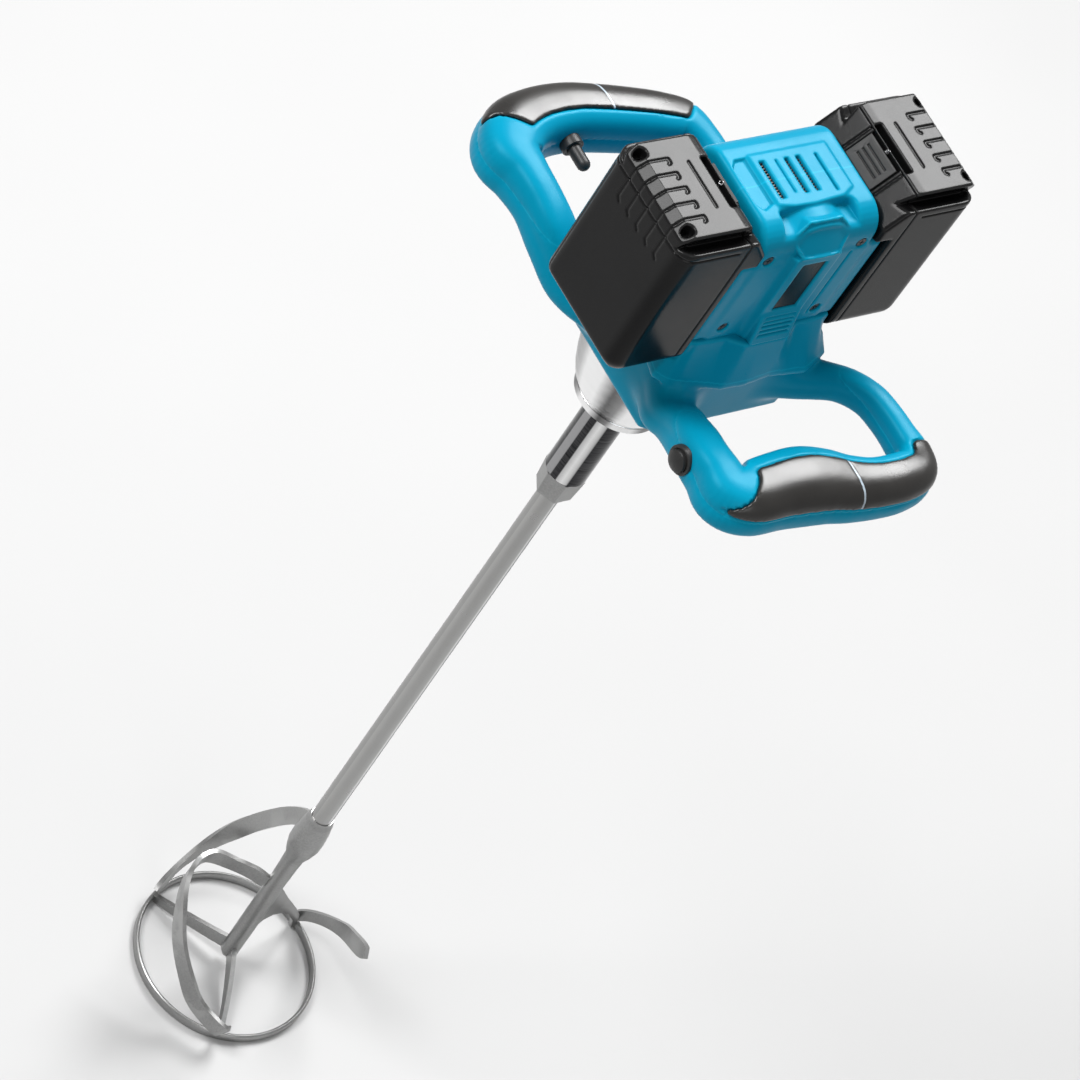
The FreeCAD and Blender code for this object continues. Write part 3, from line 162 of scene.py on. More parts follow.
def skin(f, field):
    """Vertices and quads of the zero surface of a field, by surface nets."""
    counts = [n - 1 for n in field.shape]
    corner = [field[i:i + counts[0], j:j + counts[1], k:k + counts[2]] for i, j, k in CUBE]
    below = sum((c < 0).astype(np.int8) for c in corner)
    cells = np.argwhere((below > 0) & (below < 8))
    total = np.zeros((len(cells), 3))
    hits = np.zeros(len(cells))
    values = [c[cells[:, 0], cells[:, 1], cells[:, 2]] for c in corner]
    for a, b in CUBE_EDGES:
        va, vb = values[a], values[b]
        cut = (va < 0) != (vb < 0)
        t = np.where(cut, va / np.where(cut, va - vb, 1), 0)
        start, along = np.array(CUBE[a], float), np.array(CUBE[b], float) - CUBE[a]
        total += cut[:, None] * (start + t[:, None] * along)
        hits += cut
    points = f.low + f.step * (cells + total / hits[:, None])
    number = np.full(counts, -1)
    number[cells[:, 0], cells[:, 1], cells[:, 2]] = np.arange(len(cells))
    quads = []
    for axis in range(3):
        one, two = (axis + 1) % 3, (axis + 2) % 3
        ahead = [slice(None)] * 3
        here = [slice(None)] * 3
        here[axis], ahead[axis] = slice(0, -1), slice(1, None)
        for other in (one, two):
            here[other] = ahead[other] = slice(1, -1)
        first, second = field[tuple(here)] < 0, field[tuple(ahead)] < 0
        spots = np.argwhere(first != second)
        spots[:, one] += 1
        spots[:, two] += 1
        leaving = first[first != second]
        ring = []
        for du, dv in ((-1, -1), (0, -1), (0, 0), (-1, 0)):
            cell = spots.copy()
            cell[:, one] += du
            cell[:, two] += dv
            ring.append(number[cell[:, 0], cell[:, 1], cell[:, 2]])
        ring = np.stack(ring, 1)
        ring[~leaving] = ring[~leaving][:, ::-1]
        quads.append(ring)
    return points, np.concatenate(quads)


def relax(points, quads, rounds, share=0.5):
    """Evens out a skin by moving each point towards the middle of its neighbours."""
    pairs = np.concatenate([quads[:, [k, (k + 1) % 4]] for k in range(4)])
    for _ in range(rounds):
        total = np.zeros_like(points)
        count = np.zeros(len(points))
        for a, b in ((0, 1), (1, 0)):
            for k in range(3):
                total[:, k] += np.bincount(pairs[:, a], points[pairs[:, b], k], len(points))
            count += np.bincount(pairs[:, a], minlength=len(points))
        points = points + share * (total / count[:, None] - points)
    return points


def piece(name, points, faces, body, material, slot, replaced=(), smooth=True):
    """A new mesh piece, from points in millimetres."""
    mesh = bpy.data.meshes.new(name)
    mesh.from_pydata((np.asarray(points) * MM).tolist(), [], np.asarray(faces).tolist())
    mesh.validate()
    if smooth:
        mesh.shade_smooth()
    obj = bpy.data.objects.new(name, mesh)
    bpy.context.scene.collection.objects.link(obj)
    mesh.materials.append(material)
    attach(obj, body)
    if replaced:
        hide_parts(*replaced)
    return obj


def field_piece(name, f, field, body, material, slot, replaced=()):
    points, quads = skin(f, field)
    return piece(name, relax(points, quads, 2), quads, body, material, slot, replaced)


def part_along(obj, axis, level, keep_high):
    """Cuts a closed piece along a plane and caps the cut, leaving a sharp edge round it."""
    bm = bmesh.new()
    bm.from_mesh(obj.data)
    normal = [0, 0, 0]
    normal[axis] = 1
    at = [level * MM * n for n in normal]
    geometry = bm.verts[:] + bm.edges[:] + bm.faces[:]
    bmesh.ops.bisect_plane(bm, geom=geometry, dist=1e-7, plane_co=at, plane_no=normal,
                           clear_inner=keep_high, clear_outer=not keep_high)
    rim = [e for e in bm.edges if e.is_boundary]
    caps = [g for g in bmesh.ops.triangle_fill(bm, edges=rim, use_beauty=True, normal=normal)["geom"]
            if isinstance(g, bmesh.types.BMFace)]
    for edge in rim:
        edge.smooth = False
    for face in caps:
        if (face.normal[axis] > 0) == keep_high:
            face.normal_flip()
    bm.to_mesh(obj.data)
    bm.free()


# ---------------------------------------------------------------- materials
class Nodes:
    """Short-hand for building one node material."""

    def __init__(self, name):
        self.material = bpy.data.materials.new(name)
        self.material.use_nodes = True
        self.tree = self.material.node_tree
        self.shader = self.tree.nodes["Principled BSDF"]
        self.place = self.add("ShaderNodeTexCoord").outputs["Object"]

    def add(self, kind, **settings):
        node = self.tree.nodes.new(kind)
        for key, value in settings.items():
            setattr(node, key, value)
        return node

    def link(self, a, b):
        self.tree.links.new(a, b)

    def put(self, node, **values):
        for key, value in values.items():
            socket = node.inputs[key.replace("_", " ")]
            if hasattr(value, "is_output"):
                self.link(value, socket)
            else:
                socket.default_value = value
        return node

    def stretch(self, scale, turn=(0, 0, 0)):
        node = self.add("ShaderNodeMapping")
        self.put(node, Vector=self.place, Scale=scale, Rotation=turn)
        return node.outputs["Vector"]

    def noise(self, scale, detail=3.0, rough=0.5, vector=None):
        node = self.add("ShaderNodeTexNoise")
        self.put(node, Vector=vector or self.place, Scale=scale, Detail=detail, Roughness=rough)
        return node.outputs["Fac"]

    def ramp(self, value, stops):
        node = self.add("ShaderNodeValToRGB")
        bands = node.color_ramp.elements
        while len(bands) < len(stops):
            bands.new(0.5)
        for band, (position, colour) in zip(bands, stops):
            band.position = position
            band.color = colour if len(colour) == 4 else (*colour, 1)
        self.link(value, node.inputs["Fac"])
        return node.outputs["Color"]

    def mix(self, share, a, b, blend="MIX"):
        node = self.add("ShaderNodeMix", data_type="RGBA", blend_type=blend)
        for key, value in (("Factor", share), ("A", a), ("B", b)):
            socket = next(s for s in node.inputs if s.name == key and s.enabled)
            if hasattr(value, "is_output"):
                self.link(value, socket)
            else:
                socket.default_value = value if key == "Factor" or len(value) == 4 else (*value, 1)
        return next(s for s in node.outputs if s.enabled)

    def maths(self, operation, a, b=0.0, c=0.0):
        node = self.add("ShaderNodeMath", operation=operation)
        for socket, value in zip(node.inputs, (a, b, c)):
            if hasattr(value, "is_output"):
                self.link(value, socket)
            else:
                socket.default_value = value
        return node.outputs["Value"]

    def band(self, value, low, high, to_low, to_high):
        node = self.add("ShaderNodeMapRange")
        values = (value, low, high, to_low, to_high)
        for key, v in zip(("Value", "From Min", "From Max", "To Min", "To Max"), values):
            if hasattr(v, "is_output"):
                self.link(v, node.inputs[key])
            else:
                node.inputs[key].default_value = v
        return node.outputs["Result"]

    def edges(self, low, high):
        """0 on flats, 1 along convex edges."""
        geometry = self.add("ShaderNodeNewGeometry")
        return self.band(geometry.outputs["Pointiness"], low, high, 0.0, 1.0)

    def bump(self, height, strength, distance):
        node = self.add("ShaderNodeBump")
        self.put(node, Height=height, Strength=strength, Distance=distance)
        self.link(node.outputs["Normal"], self.shader.inputs["Normal"])

    def finish(self, colour, rough, metal=0.0, **more):
        self.put(self.shader, Base_Color=colour, Roughness=rough, Metallic=metal, **more)
        return self.material


def moulded(name, base, lit, rough_low, rough_high, grain=0.00006, gloss=0.3, edge_highlight_colour=None,
            sheen=(1, 1, 1, 1)):
    """Injection-moulded plastic: fine spark texture, faint flow clouds, convex edges lightened as a painted
    highlight.
    """
    n = Nodes(name)
    clouds = n.noise(9.0, 4.0)
    grime = n.noise(55.0, 6.0, 0.65)
    colour = n.mix(n.band(clouds, 0.3, 0.7, 0.0, 1.0), base, lit)
    # painted highlight: convex edges are mixed towards a lighter colour
    colour = n.mix(n.maths("MULTIPLY", n.edges(0.505, 0.56), 0.35), colour, edge_highlight_colour or lit)
    spark = n.noise(1400.0, 2.0, 0.7)
    rough = n.band(n.maths("ADD", n.maths("MULTIPLY", spark, 0.35), n.maths("MULTIPLY", grime, 0.65)),
                   0.3, 0.7, rough_low, rough_high)
    n.bump(n.maths("ADD", spark, n.maths("MULTIPLY", n.noise(90.0), 0.6)), 0.5, grain)
    return n.finish(colour, rough, Specular_IOR_Level=gloss, Specular_Tint=sheen)


# The moulding seam of the grip covers lies in the upright plane x + SEAM_SLANT * y = SEAM_X.
SEAM_X = 8.9
SEAM_SLANT = 0.037
SEAM_HALF_WIDTH = 0.45
SEAM_COLOUR = (0.35, 0.42, 0.48)


def rubber(name, base, lit, rough, seam=False):
    """Satin rubber with a handled sheen and fine pores; a pale line may mark the covers' moulding seam."""
    n = Nodes(name)
    wear = n.noise(16.0, 4.0, 0.6)
    colour = n.mix(n.band(wear, 0.35, 0.7, 0.0, 1.0), base, lit)
    if seam:
        parts = n.add("ShaderNodeSeparateXYZ")
        n.link(n.place, parts.inputs["Vector"])
        across = n.maths("MULTIPLY_ADD", parts.outputs["Y"], SEAM_SLANT, parts.outputs["X"])
        away = n.maths("ABSOLUTE", n.maths("SUBTRACT", across, SEAM_X * MM))
        colour = n.mix(n.band(away, 0.0005, 0.0007, 1.0, 0.0), colour, SEAM_COLOUR)
    pores = n.noise(900.0, 3.0, 0.7)
    n.bump(n.maths("ADD", pores, n.noise(140.0)), 0.5, 0.00006)
    return n.finish(colour, n.band(wear, 0.3, 0.7, rough - 0.06, rough + 0.08), Specular_IOR_Level=0.5)


def steel(name, base, lit, rough, stretch, strength=0.25, marks=0.0):
    """Worked metal with a grain along one direction, stains and scratches."""
    n = Nodes(name)
    grain = n.noise(700.0, 4.0, 0.7, n.stretch(stretch))
    stain = n.noise(26.0, 5.0, 0.62)
    colour = n.mix(n.band(grain, 0.3, 0.72, 0.0, 1.0), base, lit)
    colour = n.mix(n.maths("MULTIPLY", n.band(stain, 0.52, 0.75, 0.0, 1.0), marks), colour,
                   [c * 0.45 for c in base])
    # painted highlight: convex edges are mixed towards a brighter colour
    colour = n.mix(n.maths("MULTIPLY", n.edges(0.51, 0.58), 0.5), colour, [min(1.0, c * 1.2) for c in lit])
    n.bump(grain, strength, 0.00008)
    uneven = n.maths("ADD", n.maths("MULTIPLY", grain, 0.5), n.maths("MULTIPLY", stain, 0.5))
    return n.finish(colour, n.band(uneven, 0.3, 0.7, rough - 0.08, rough + 0.12), 1.0)


def around_axis(n):
    """Direction of the surface round the spindle, 0 to 1 over a full turn."""
    geometry = n.add("ShaderNodeNewGeometry")
    parts = n.add("ShaderNodeSeparateXYZ")
    n.link(geometry.outputs["Normal"], parts.inputs["Vector"])
    turn = n.maths("ARCTAN2", parts.outputs["Y"], parts.outputs["X"])
    return n.maths("ADD", n.maths("DIVIDE", turn, 2 * math.pi), 0.5)


def polished(name, stops, rough, grain_strength=0.06):
    """Polished metal with painted reflections: upright bands of dark and light, set by the surface's
    direction, stand for a studio's panels.
    """
    n = Nodes(name)
    # painted reflections: a ramp of light and dark bands by the direction of the surface round the spindle
    bands = n.ramp(around_axis(n), stops)
    turning = n.noise(900.0, 3.0, 0.6, n.stretch((0.05, 0.05, 2.0)))
    colour = n.mix(n.band(turning, 0.35, 0.7, 0.0, 0.12), bands, (0.45, 0.45, 0.46))
    n.bump(turning, grain_strength, 0.00004)
    return n.finish(colour, n.band(n.noise(60.0, 5.0), 0.3, 0.7, rough, rough + 0.1), 1.0)


BLUE = moulded("blue_shell", (0.0006, 0.21, 0.34), (0.001, 0.245, 0.39), 0.26, 0.38, gloss=0.13,
               edge_highlight_colour=(0.012, 0.45, 0.64), sheen=(0.25, 0.8, 1.0, 1))
BLACK = moulded("pack_black", (0.003, 0.003, 0.0032), (0.006, 0.006, 0.0062), 0.16, 0.24, 0.00004, 0.15,
                (0.05, 0.05, 0.05))
BUTTON = moulded("button_black", (0.014, 0.014, 0.014), (0.028, 0.028, 0.028), 0.34, 0.5)
GRIP = rubber("grip_rubber", (0.012, 0.011, 0.010), (0.02, 0.0185, 0.017), 0.28, seam=True)
SEAL = rubber("seal_rubber", (0.012, 0.012, 0.012), (0.02, 0.02, 0.02), 0.6)
PADDLE = steel("steel_paddle", (0.27, 0.27, 0.267), (0.36, 0.36, 0.357), 0.34, (1.0, 1.0, 1.0), 0.12, 0.15)
DARK_STEEL = steel("steel_screw", (0.05, 0.05, 0.052), (0.11, 0.11, 0.115), 0.38, (1, 1, 1), 0.2, 0.2)
GEAR_STEEL = steel("steel_gear", (0.28, 0.28, 0.285), (0.42, 0.42, 0.43), 0.3, (1, 1, 0.1), 0.2, 0.2)
SPRING = steel("spring_steel", (0.42, 0.42, 0.43), (0.6, 0.6, 0.61), 0.28, (1, 1, 1), 0.1)
CORE = steel("core_steel", (0.12, 0.12, 0.125), (0.22, 0.22, 0.225), 0.42, (0.02, 0.02, 6.0), 0.8)
LID = steel("lid_aluminium", (0.42, 0.42, 0.425), (0.62, 0.62, 0.62), 0.36, (1, 1, 1), 0.3)
COPPER = steel("copper", (0.45, 0.16, 0.06), (0.62, 0.27, 0.11), 0.32, (1, 1, 8.0), 0.6)
BRASS = steel("brass_blade", (0.55, 0.4, 0.14), (0.75, 0.58, 0.25), 0.3, (1, 1, 1), 0.2)
BOARD = moulded("board_green", (0.01, 0.1, 0.04), (0.015, 0.14, 0.06), 0.3, 0.45)
CELL = moulded("cell_wrap", (0.03, 0.13, 0.3), (0.04, 0.17, 0.36), 0.25, 0.35)
CABLE = rubber("cable_jacket", (0.01, 0.01, 0.01), (0.02, 0.02, 0.02), 0.45)
# Colours of the rod, sleeve and bell ramps below: painted reflections of light and dark studio panels, and on
# the rod a painted highlight and a band of painted shade.
GREY = (0.3, 0.3, 0.305)
WHITE = (0.9, 0.9, 0.9)
DARK = (0.015, 0.015, 0.017)
ROD_GREY = (0.35, 0.348, 0.342)
ROD = polished("steel_rod", [
    (0.0, (0.41, 0.408, 0.4)), (0.14, ROD_GREY), (0.225, (0.4, 0.4, 0.395)), (0.26, (0.8, 0.8, 0.8)),
    (0.285, (0.25, 0.25, 0.25)), (0.305, (0.07, 0.07, 0.075)), (0.36, (0.07, 0.07, 0.075)), (0.42, ROD_GREY),
    (0.8, (0.27, 0.268, 0.263)), (0.9, (0.33, 0.328, 0.322))], 0.26)
CHROME = polished("chrome_sleeve", [
    (0.0, GREY), (0.018, GREY), (0.022, DARK), (0.072, DARK), (0.078, (0.6, 0.6, 0.6)), (0.115, WHITE),
    (0.155, (0.5, 0.5, 0.5)), (0.165, DARK), (0.34, DARK), (0.40, GREY), (0.5, WHITE), (0.6, GREY),
    (0.7, DARK), (0.8, GREY), (0.85, DARK), (0.945, DARK), (0.955, GREY)], 0.10)
BELL = polished("bell_aluminium", [
    (0.0, WHITE), (0.04, WHITE), (0.08, (0.1, 0.1, 0.1)), (0.11, (0.25, 0.25, 0.25)), (0.135, WHITE),
    (0.20, WHITE), (0.24, (0.25, 0.25, 0.25)), (0.29, (0.08, 0.08, 0.08)), (0.36, (0.5, 0.5, 0.5)),
    (0.45, WHITE), (0.55, GREY), (0.7, WHITE), (0.82, (0.12, 0.12, 0.12)), (0.92, (0.1, 0.1, 0.1)),
    (0.96, (0.45, 0.45, 0.45)), (0.985, WHITE)], 0.13)


def display_glass():
    """Smoked window with a faint sheen of wiping marks."""
    n = Nodes("display_clear")
    smear = n.noise(40.0, 5.0, 0.6, n.stretch((1.0, 1.0, 0.3)))
    colour = n.mix(n.band(smear, 0.4, 0.7, 0.0, 1.0), (0.006, 0.008, 0.009), (0.014, 0.018, 0.02))
    n.bump(n.noise(260.0), 0.05, 0.00003)
    return n.finish(colour, n.band(smear, 0.3, 0.7, 0.14, 0.3), Specular_IOR_Level=0.12)


GLASS = display_glass()

FINISHES = {
    "blue_shell": BLUE, "grip_rubber": GRIP, "pack_black": BLACK, "pack_button": BUTTON,
    "button_black": BUTTON, "bell_aluminium": BELL, "lid_aluminium": LID, "chrome_sleeve": CHROME,
    "steel_rod": ROD, "steel_paddle": PADDLE, "steel_gear": GEAR_STEEL, "steel_bearing": SPRING,
    "steel_screw": DARK_STEEL, "spring_steel": SPRING, "core_steel": CORE, "copper": COPPER,
    "board_green": BOARD, "display_clear": GLASS, "cell_wrap": CELL, "brass_blade": BRASS,
    "seal_rubber": SEAL, "cable_jacket": CABLE, "heatsink_aluminium": LID,
}

# ---------------------------------------------------------------- CAD nodes that stay: finish and fine edges
# Width of the rounded edges of each visible CAD node, in millimetres.
BEVELS = {"rod_nut": 0.7, "nose_cap": 0.3, "paddle_blades": 0.5, "paddle_spokes": 0.5, "paddle_ring": 1.4,
          "lock_collar": 0.5, "lock_button": 0.3, "start_collar": 0.4, "start_button": 0.2,
          "housing_screws": 0.12, "pod_bolts": 0.2, "battery_left_release_button": 0.4,
          "battery_right_release_button": 0.4, "battery_left_screws": 0.15, "battery_right_screws": 0.15}


def dress_cad_nodes():
    for part in frame["record"]["subparts"]:
        obj = frame["nodes"][part["node"]]
        obj.data.materials.clear()
        obj.data.materials.append(FINISHES[part["material_slot"]])
        obj.data.shade_smooth()
        width = BEVELS.get(part["node"])
        if width:
            weld = obj.modifiers.new("weld", "WELD")
            weld.merge_threshold = 0.00001
            bevel = obj.modifiers.new("bevel", "BEVEL")
            bevel.width = width * MM
            bevel.segments = 2
            bevel.angle_limit = math.radians(35)
            bevel.use_clamp_overlap = True
        sharp = obj.modifiers.new("normals", "WEIGHTED_NORMAL")
        sharp.keep_sharp = True


dress_cad_nodes()

# ---------------------------------------------------------------- handles
HAND_ROOM = 60.0                    # distance from the motor's centre line where the seam groove begins
# Stations along each handle's centre line: x, distance outward from the motor's centre line, height,
# half width, half height. The first ones lie inside the gear pod.
FRONT_PATH = [(-28, 18, 704, 12, 12), (-37, 33, 704.5, 13, 11.5), (-46.5, 48, 706.5, 14, 11.5),
              (-50.5, 62, 713.5, 12.5, 12), (-55, 76, 720, 12.3, 13), (-58, 89, 723, 12.5, 13.5),
              (-58.5, 100, 724, 13, 14), (-58, 112, 724, 15.5, 14.5),
              (-48, 117, 724, 17.5, 15), (-30, 116.5, 724, 18.7, 15.5), (-12, 117, 724, 19.7, 16),
              (2, 120, 724, 18.7, 15.5), (16, 125, 724, 16.5, 14.5), (32, 128.5, 724, 14.5, 14),
              (48, 129, 724, 14, 13.5), (62, 126, 724, 12.8, 12.5), (68.5, 116, 724, 10, 10.5),
              (69, 104, 724, 8.3, 9.6), (68.3, 90, 724, 8, 9.4), (66.5, 76, 722.5, 8, 9.4),
              (61.5, 62, 717.5, 8.4, 9.8), (53.5, 51, 710.5, 9.5, 10.5), (42, 41, 705, 11, 11),
              (30, 30, 703, 12, 12)]
REAR_PATH = [(-30, 16, 702, 13, 14), (-44, 30, 702.5, 15, 14), (-56, 47, 706, 14, 14),
             (-62, 65, 717, 13, 14.5), (-63.8, 84, 723, 12.3, 13.5), (-65, 102, 724, 13.5, 14.5),
             (-65.5, 117, 724, 17.5, 15),
             (-55, 129.5, 724, 18.5, 15), (-38, 134.8, 724, 17.3, 15.5), (-18, 135.3, 724, 16.8, 15.5),
             (0, 132, 724, 16.3, 15.5), (22, 126.5, 724, 15.8, 15), (40, 121, 724, 15, 14.5),
             (54, 115, 724, 13.5, 13), (60.5, 103, 724, 10, 11), (62.3, 90, 724, 8.6, 9.8),
             (61, 76, 723, 8.5, 9.8), (56, 62, 719, 9, 10), (47, 50, 712, 10.5, 11.5),
             (34, 36, 706, 12, 13)]
PATH_POINTS = 8
SQUARENESS = 2.7
LIP_OUT = 0.9
LIP_HEIGHT = 0.62
BODY_BLEND = 9.0


def smooth_path(stations):
    """Catmull-Rom curve through the stations."""
    rows = np.array(stations, float)
    rows = np.vstack([2 * rows[0] - rows[1], rows, 2 * rows[-1] - rows[-2]])
    t = np.linspace(0, 1, PATH_POINTS, endpoint=False)[:, None]
    parts = []
    for a, b, c, d in zip(rows, rows[1:], rows[2:], rows[3:]):
        parts.append(0.5 * (2 * b + (c - a) * t + (2 * a - 5 * b + 4 * c - d) * t ** 2
                            + (3 * b - a - 3 * c + d) * t ** 3))
    return np.vstack(parts + [rows[-2:-1]])


class Sweep:
    """A handle as maps over the plan: outward offset, arc length and section sizes of the nearest station."""

    def __init__(self, f, stations, sign):
        path = smooth_path(stations)
        self.nearest = np.full(np.broadcast(f.x, f.y).shape, 1e9)
        maps = {k: np.zeros(self.nearest.shape) for k in ("out", "along", "z", "a", "b")}
        d = sign * (f.y - MOTOR_Y)
        travelled = 0.0
        for p, q in zip(path, path[1:]):
            step = q[:2] - p[:2]
            length = np.hypot(*step)
            t = np.clip(((f.x - p[0]) * step[0] + (d - p[1]) * step[1]) / length ** 2, 0, 1)
            rx, rd = f.x - p[0] - t * step[0], d - p[1] - t * step[1]
            distance = np.hypot(rx, rd)
            closer = distance < self.nearest
            self.nearest = np.where(closer, distance, self.nearest)
            side = (rd * step[0] - rx * step[1]) / length
            found = {"out": np.where(side >= 0, distance, -distance), "along": travelled + t * length,
                     "z": p[2] + t * (q[2] - p[2]), "a": p[3] + t * (q[3] - p[3]),
                     "b": p[4] + t * (q[4] - p[4])}
            for key, value in found.items():
                maps[key] = np.where(closer, value, maps[key])
            travelled += length
        self.__dict__.update(maps)

    def section(self, f, z, a, b):
        w = f.z - z
        reach = np.sqrt(self.out ** 2 + w ** 2) + 1e-6
        size = ((np.abs(self.out) / a) ** SQUARENESS + (np.abs(w) / b) ** SQUARENESS) ** (1 / SQUARENESS)
        return reach - reach / (size + 1e-6)

    def body(self, f):
        """Rounded section with a slightly wider lip along its lower half."""
        upper = self.section(f, self.z, self.a, self.b)
        lip = self.section(f, self.z - self.b * 0.42, self.a + LIP_OUT, self.b * LIP_HEIGHT)
        return join(upper, lip, 2.0)

    def angle(self, f):
        """Direction round the section in degrees: 0 outward, 90 up."""
        return np.degrees(np.arctan2((f.z - self.z) / self.b, self.out / self.a))


# Corner points of the ledge under the packs and of the faceted belt, in plan.
EAVES = [(-57, -46.5), (-51.5, -53), (-20, -63.6), (-4, -64.2), (14, -62), (38, -64.8), (57, -56.5),
         (60, -50.5), (50, -20), (-50, -20)]
COLLAR = [(-49.4, -45), (-44, -50.4), (-25, -51.2), (-15, -57.6), (14.5, -57.6), (23, -51.2), (44, -50.4),
          (49.4, -45), (49.4, -20), (-49.4, -20)]
EAVES_Z = 722.0
EAVES_UNDERSIDE = 719.0
SKIRT_LEAN = 0.93                   # shrinks the distance where the skirt's wall leans
SKIRT_CURVE = 1.35
POD_HALF_X = 50.0
POD_FRONT = -58.2
POD_WALL = 3.0
BELL_SEAT_RADIUS = 44.0
PACK_ROOM = 0.7
FAR = 150.0                         # well outside the tool, for cuts that run off its edge


def turned_half(points):
    return [(-x, 2 * MOTOR_Y - y) for x, y in points]


def plan_octagon(half_x, front, cut_x, cut_y):
    back = 2 * MOTOR_Y - front
    return [(-half_x, front + cut_y), (-half_x + cut_x, front),
            (half_x - cut_x, front), (half_x, front + cut_y),
            (half_x, back - cut_y), (half_x - cut_x, back),
            (-half_x + cut_x, back), (-half_x, back - cut_y)]


def skirt(f, turned):
    """Faceted skirt that runs from the foot of the motor housing out to the ledge under the packs."""
    lower, upper = (turned_half(EAVES), turned_half(COLLAR)) if turned else (EAVES, COLLAR)
    rise = np.clip((f.z - EAVES_Z) / (BELT_TOP - EAVES_Z), 0, 1)
    at_foot, at_top = outline_distance(f.x, f.y, lower), outline_distance(f.x, f.y, upper)
    slope = (at_foot + (at_top - at_foot) * (1 - (1 - rise) ** SKIRT_CURVE)) * SKIRT_LEAN
    return overlap(overlap(slope, f.z - BELT_TOP, 0.6), EAVES_UNDERSIDE - f.z, 1.0)


def frame_body(f):
    """Gear pod and a core block up to the belt."""
    pod = prism(f, "z", plan_octagon(POD_HALF_X, POD_FRONT, 7, 5), POD_BOTTOM, SPLIT_Z, 3.5)
    core = block(f, (-49.0, -49.5, 716), (49.0, 21.5, BELT_TOP), 1.0)
    return join(pod, core)


def pack_room(f):
    """Space that the two packs stand in, beside the motor housing."""
    y0, y1 = OUTER_LOW[1] - PACK_ROOM, OUTER_HIGH[1] + PACK_ROOM
    floor = OUTER_LOW[2] - 1.2
    right = block(f, (HOUSING_HALF_X - 0.4, y0, floor), (FAR, y1, 800), 2.0)
    left = block(f, (-FAR, y0, floor), (0.4 - HOUSING_HALF_X, y1, 800), 2.0)
    return join(left, right)


PAD_PROUD = 0.7
PAD_DEEP = 1.6
PAD_GAP = 0.35
SPLIT_GROOVE_HALF = 0.35
SPLIT_GROOVE_DEPTH = 0.5
FRAME_GRID = 1.0
# Covers: lowest and highest direction round the section, first and last arc length, slant of the near end.
FRONT_COVER = (8, 113, 106, 240, 9.0)
REAR_COVER = (8, 112, 122, 242, 4.0)


def pad_field(f, sweep, handle, low, high, first, last, slant):
    """Rubber cover: the band of a grip's skin between two directions and two arc lengths."""
    angle = sweep.angle(f)
    radius = np.minimum(sweep.a, sweep.b)
    sector = np.radians(np.maximum(low - angle, angle - high)) * radius
    start = first + slant * np.clip((angle - 40) / 60, -1, 1)
    ends = np.maximum(start - sweep.along, sweep.along - last)
    band = overlap(sector, ends, 4.0)
    return overlap(overlap(handle - PAD_PROUD, -(handle + PAD_DEEP), 0.5), band, 1.2)


def handle_pieces():
    """Frame shells, parted at SPLIT_Z, and the two rubber covers."""
    f = Field((-86, -163, POD_BOTTOM - 3), (88, 149, BELT_TOP + 3), FRAME_GRID)
    body = frame_body(f)
    pads = []
    for sign, stations, pad in ((-1, FRONT_PATH, FRONT_COVER), (1, REAR_PATH, REAR_COVER)):
        sweep = Sweep(f, stations, sign)
        handle = sweep.body(f)
        pads.append(pad_field(f, sweep, handle, *pad))
        body = join(body, handle, BODY_BLEND)
        seam = np.abs(f.x + SEAM_SLANT * f.y - SEAM_X) - SEAM_HALF_WIDTH
        pads[-1] = carve(pads[-1], np.maximum(seam, -(handle - 0.1)), 0.3)
    body = join(join(body, skirt(f, False), 1.2), skirt(f, True), 1.2)
    body = carve(body, pack_room(f), 1.5)
    for pad in pads:
        body = carve(body, pad - PAD_GAP, 0.5)
    body = carve(body, bar(f, "z", (0, 0), BELL_SEAT_RADIUS, POD_BOTTOM - 5, POD_BOTTOM + 5), 1.0)
    hollow = prism(f, "z", plan_octagon(46.6, -55.8, 17, 17), POD_BOTTOM + POD_WALL, EAVES_Z, 0)
    mouth = block(f, (-36, FRONT_Y + 3, POD_BOTTOM + POD_WALL), (36, BACK_Y - 3, BELT_TOP + 9), 0)
    body = carve(body, join(hollow, mouth))
    groove = np.maximum(np.abs(f.z - SPLIT_Z) - SPLIT_GROOVE_HALF, -(body + SPLIT_GROOVE_DEPTH))
    body = carve(body, np.maximum(groove, HAND_ROOM - np.abs(f.y - MOTOR_Y)), 0.3)
    points, quads = skin(f, body)
    points = relax(points, quads, 2)
    for name in ("upper", "lower"):
        half = piece("shell_frame_" + name, points, quads, "tool_body", BLUE, "blue_shell",
                     ["handle_frame_" + name])
        part_along(half, 2, SPLIT_Z, name == "upper")
    for name, pad in zip(("front", "rear"), pads):
        field_piece("cover_grip_" + name, f, pad, "tool_body", GRIP, "grip_rubber", ["grip_" + name])


handle_pieces()


# ---------------------------------------------------------------- motor housing
AHEAD_Y = -70.0                     # well in front of the housing, for cuts made from the front


def arc(cu, cv, radius, start, end, steps=8):
    angles = np.radians(np.linspace(start, end, steps + 1))
    return [(cu + radius * math.cos(a), cv + radius * math.sin(a)) for a in angles]


def crown(f):
    """Crown of the housing in side view: rounded back, flat vent deck, rolled front shoulder."""
    outline = ([(BACK_Y, BELT_TOP)] + arc(BACK_Y - 13, HOUSING_TOP - 13, 13, 0, 90)
               + arc(FRONT_Y + 16, HOUSING_TOP - 16, 16, 90, 180) + [(FRONT_Y, BELT_TOP)])
    return prism(f, "x", outline, -CROWN_HALF_X, CROWN_HALF_X, 3.5)


# Hood plate: corners in its own plane, centre in side view, lean from upright and how far it bows.
HOOD = [(-11, 11), (11, 11), (21.5, 1.5), (12.5, -11), (-12.5, -11), (-21.5, 1.5)]
HOOD_MIDDLE = (-49.3, 827.2)
HOOD_LEAN = math.radians(58.3)
HOOD_BOW = 0.0072
HOOD_RIM = 1.8
HOOD_RIM_HEIGHT = 1.1
BAY_FLOOR = 829.0


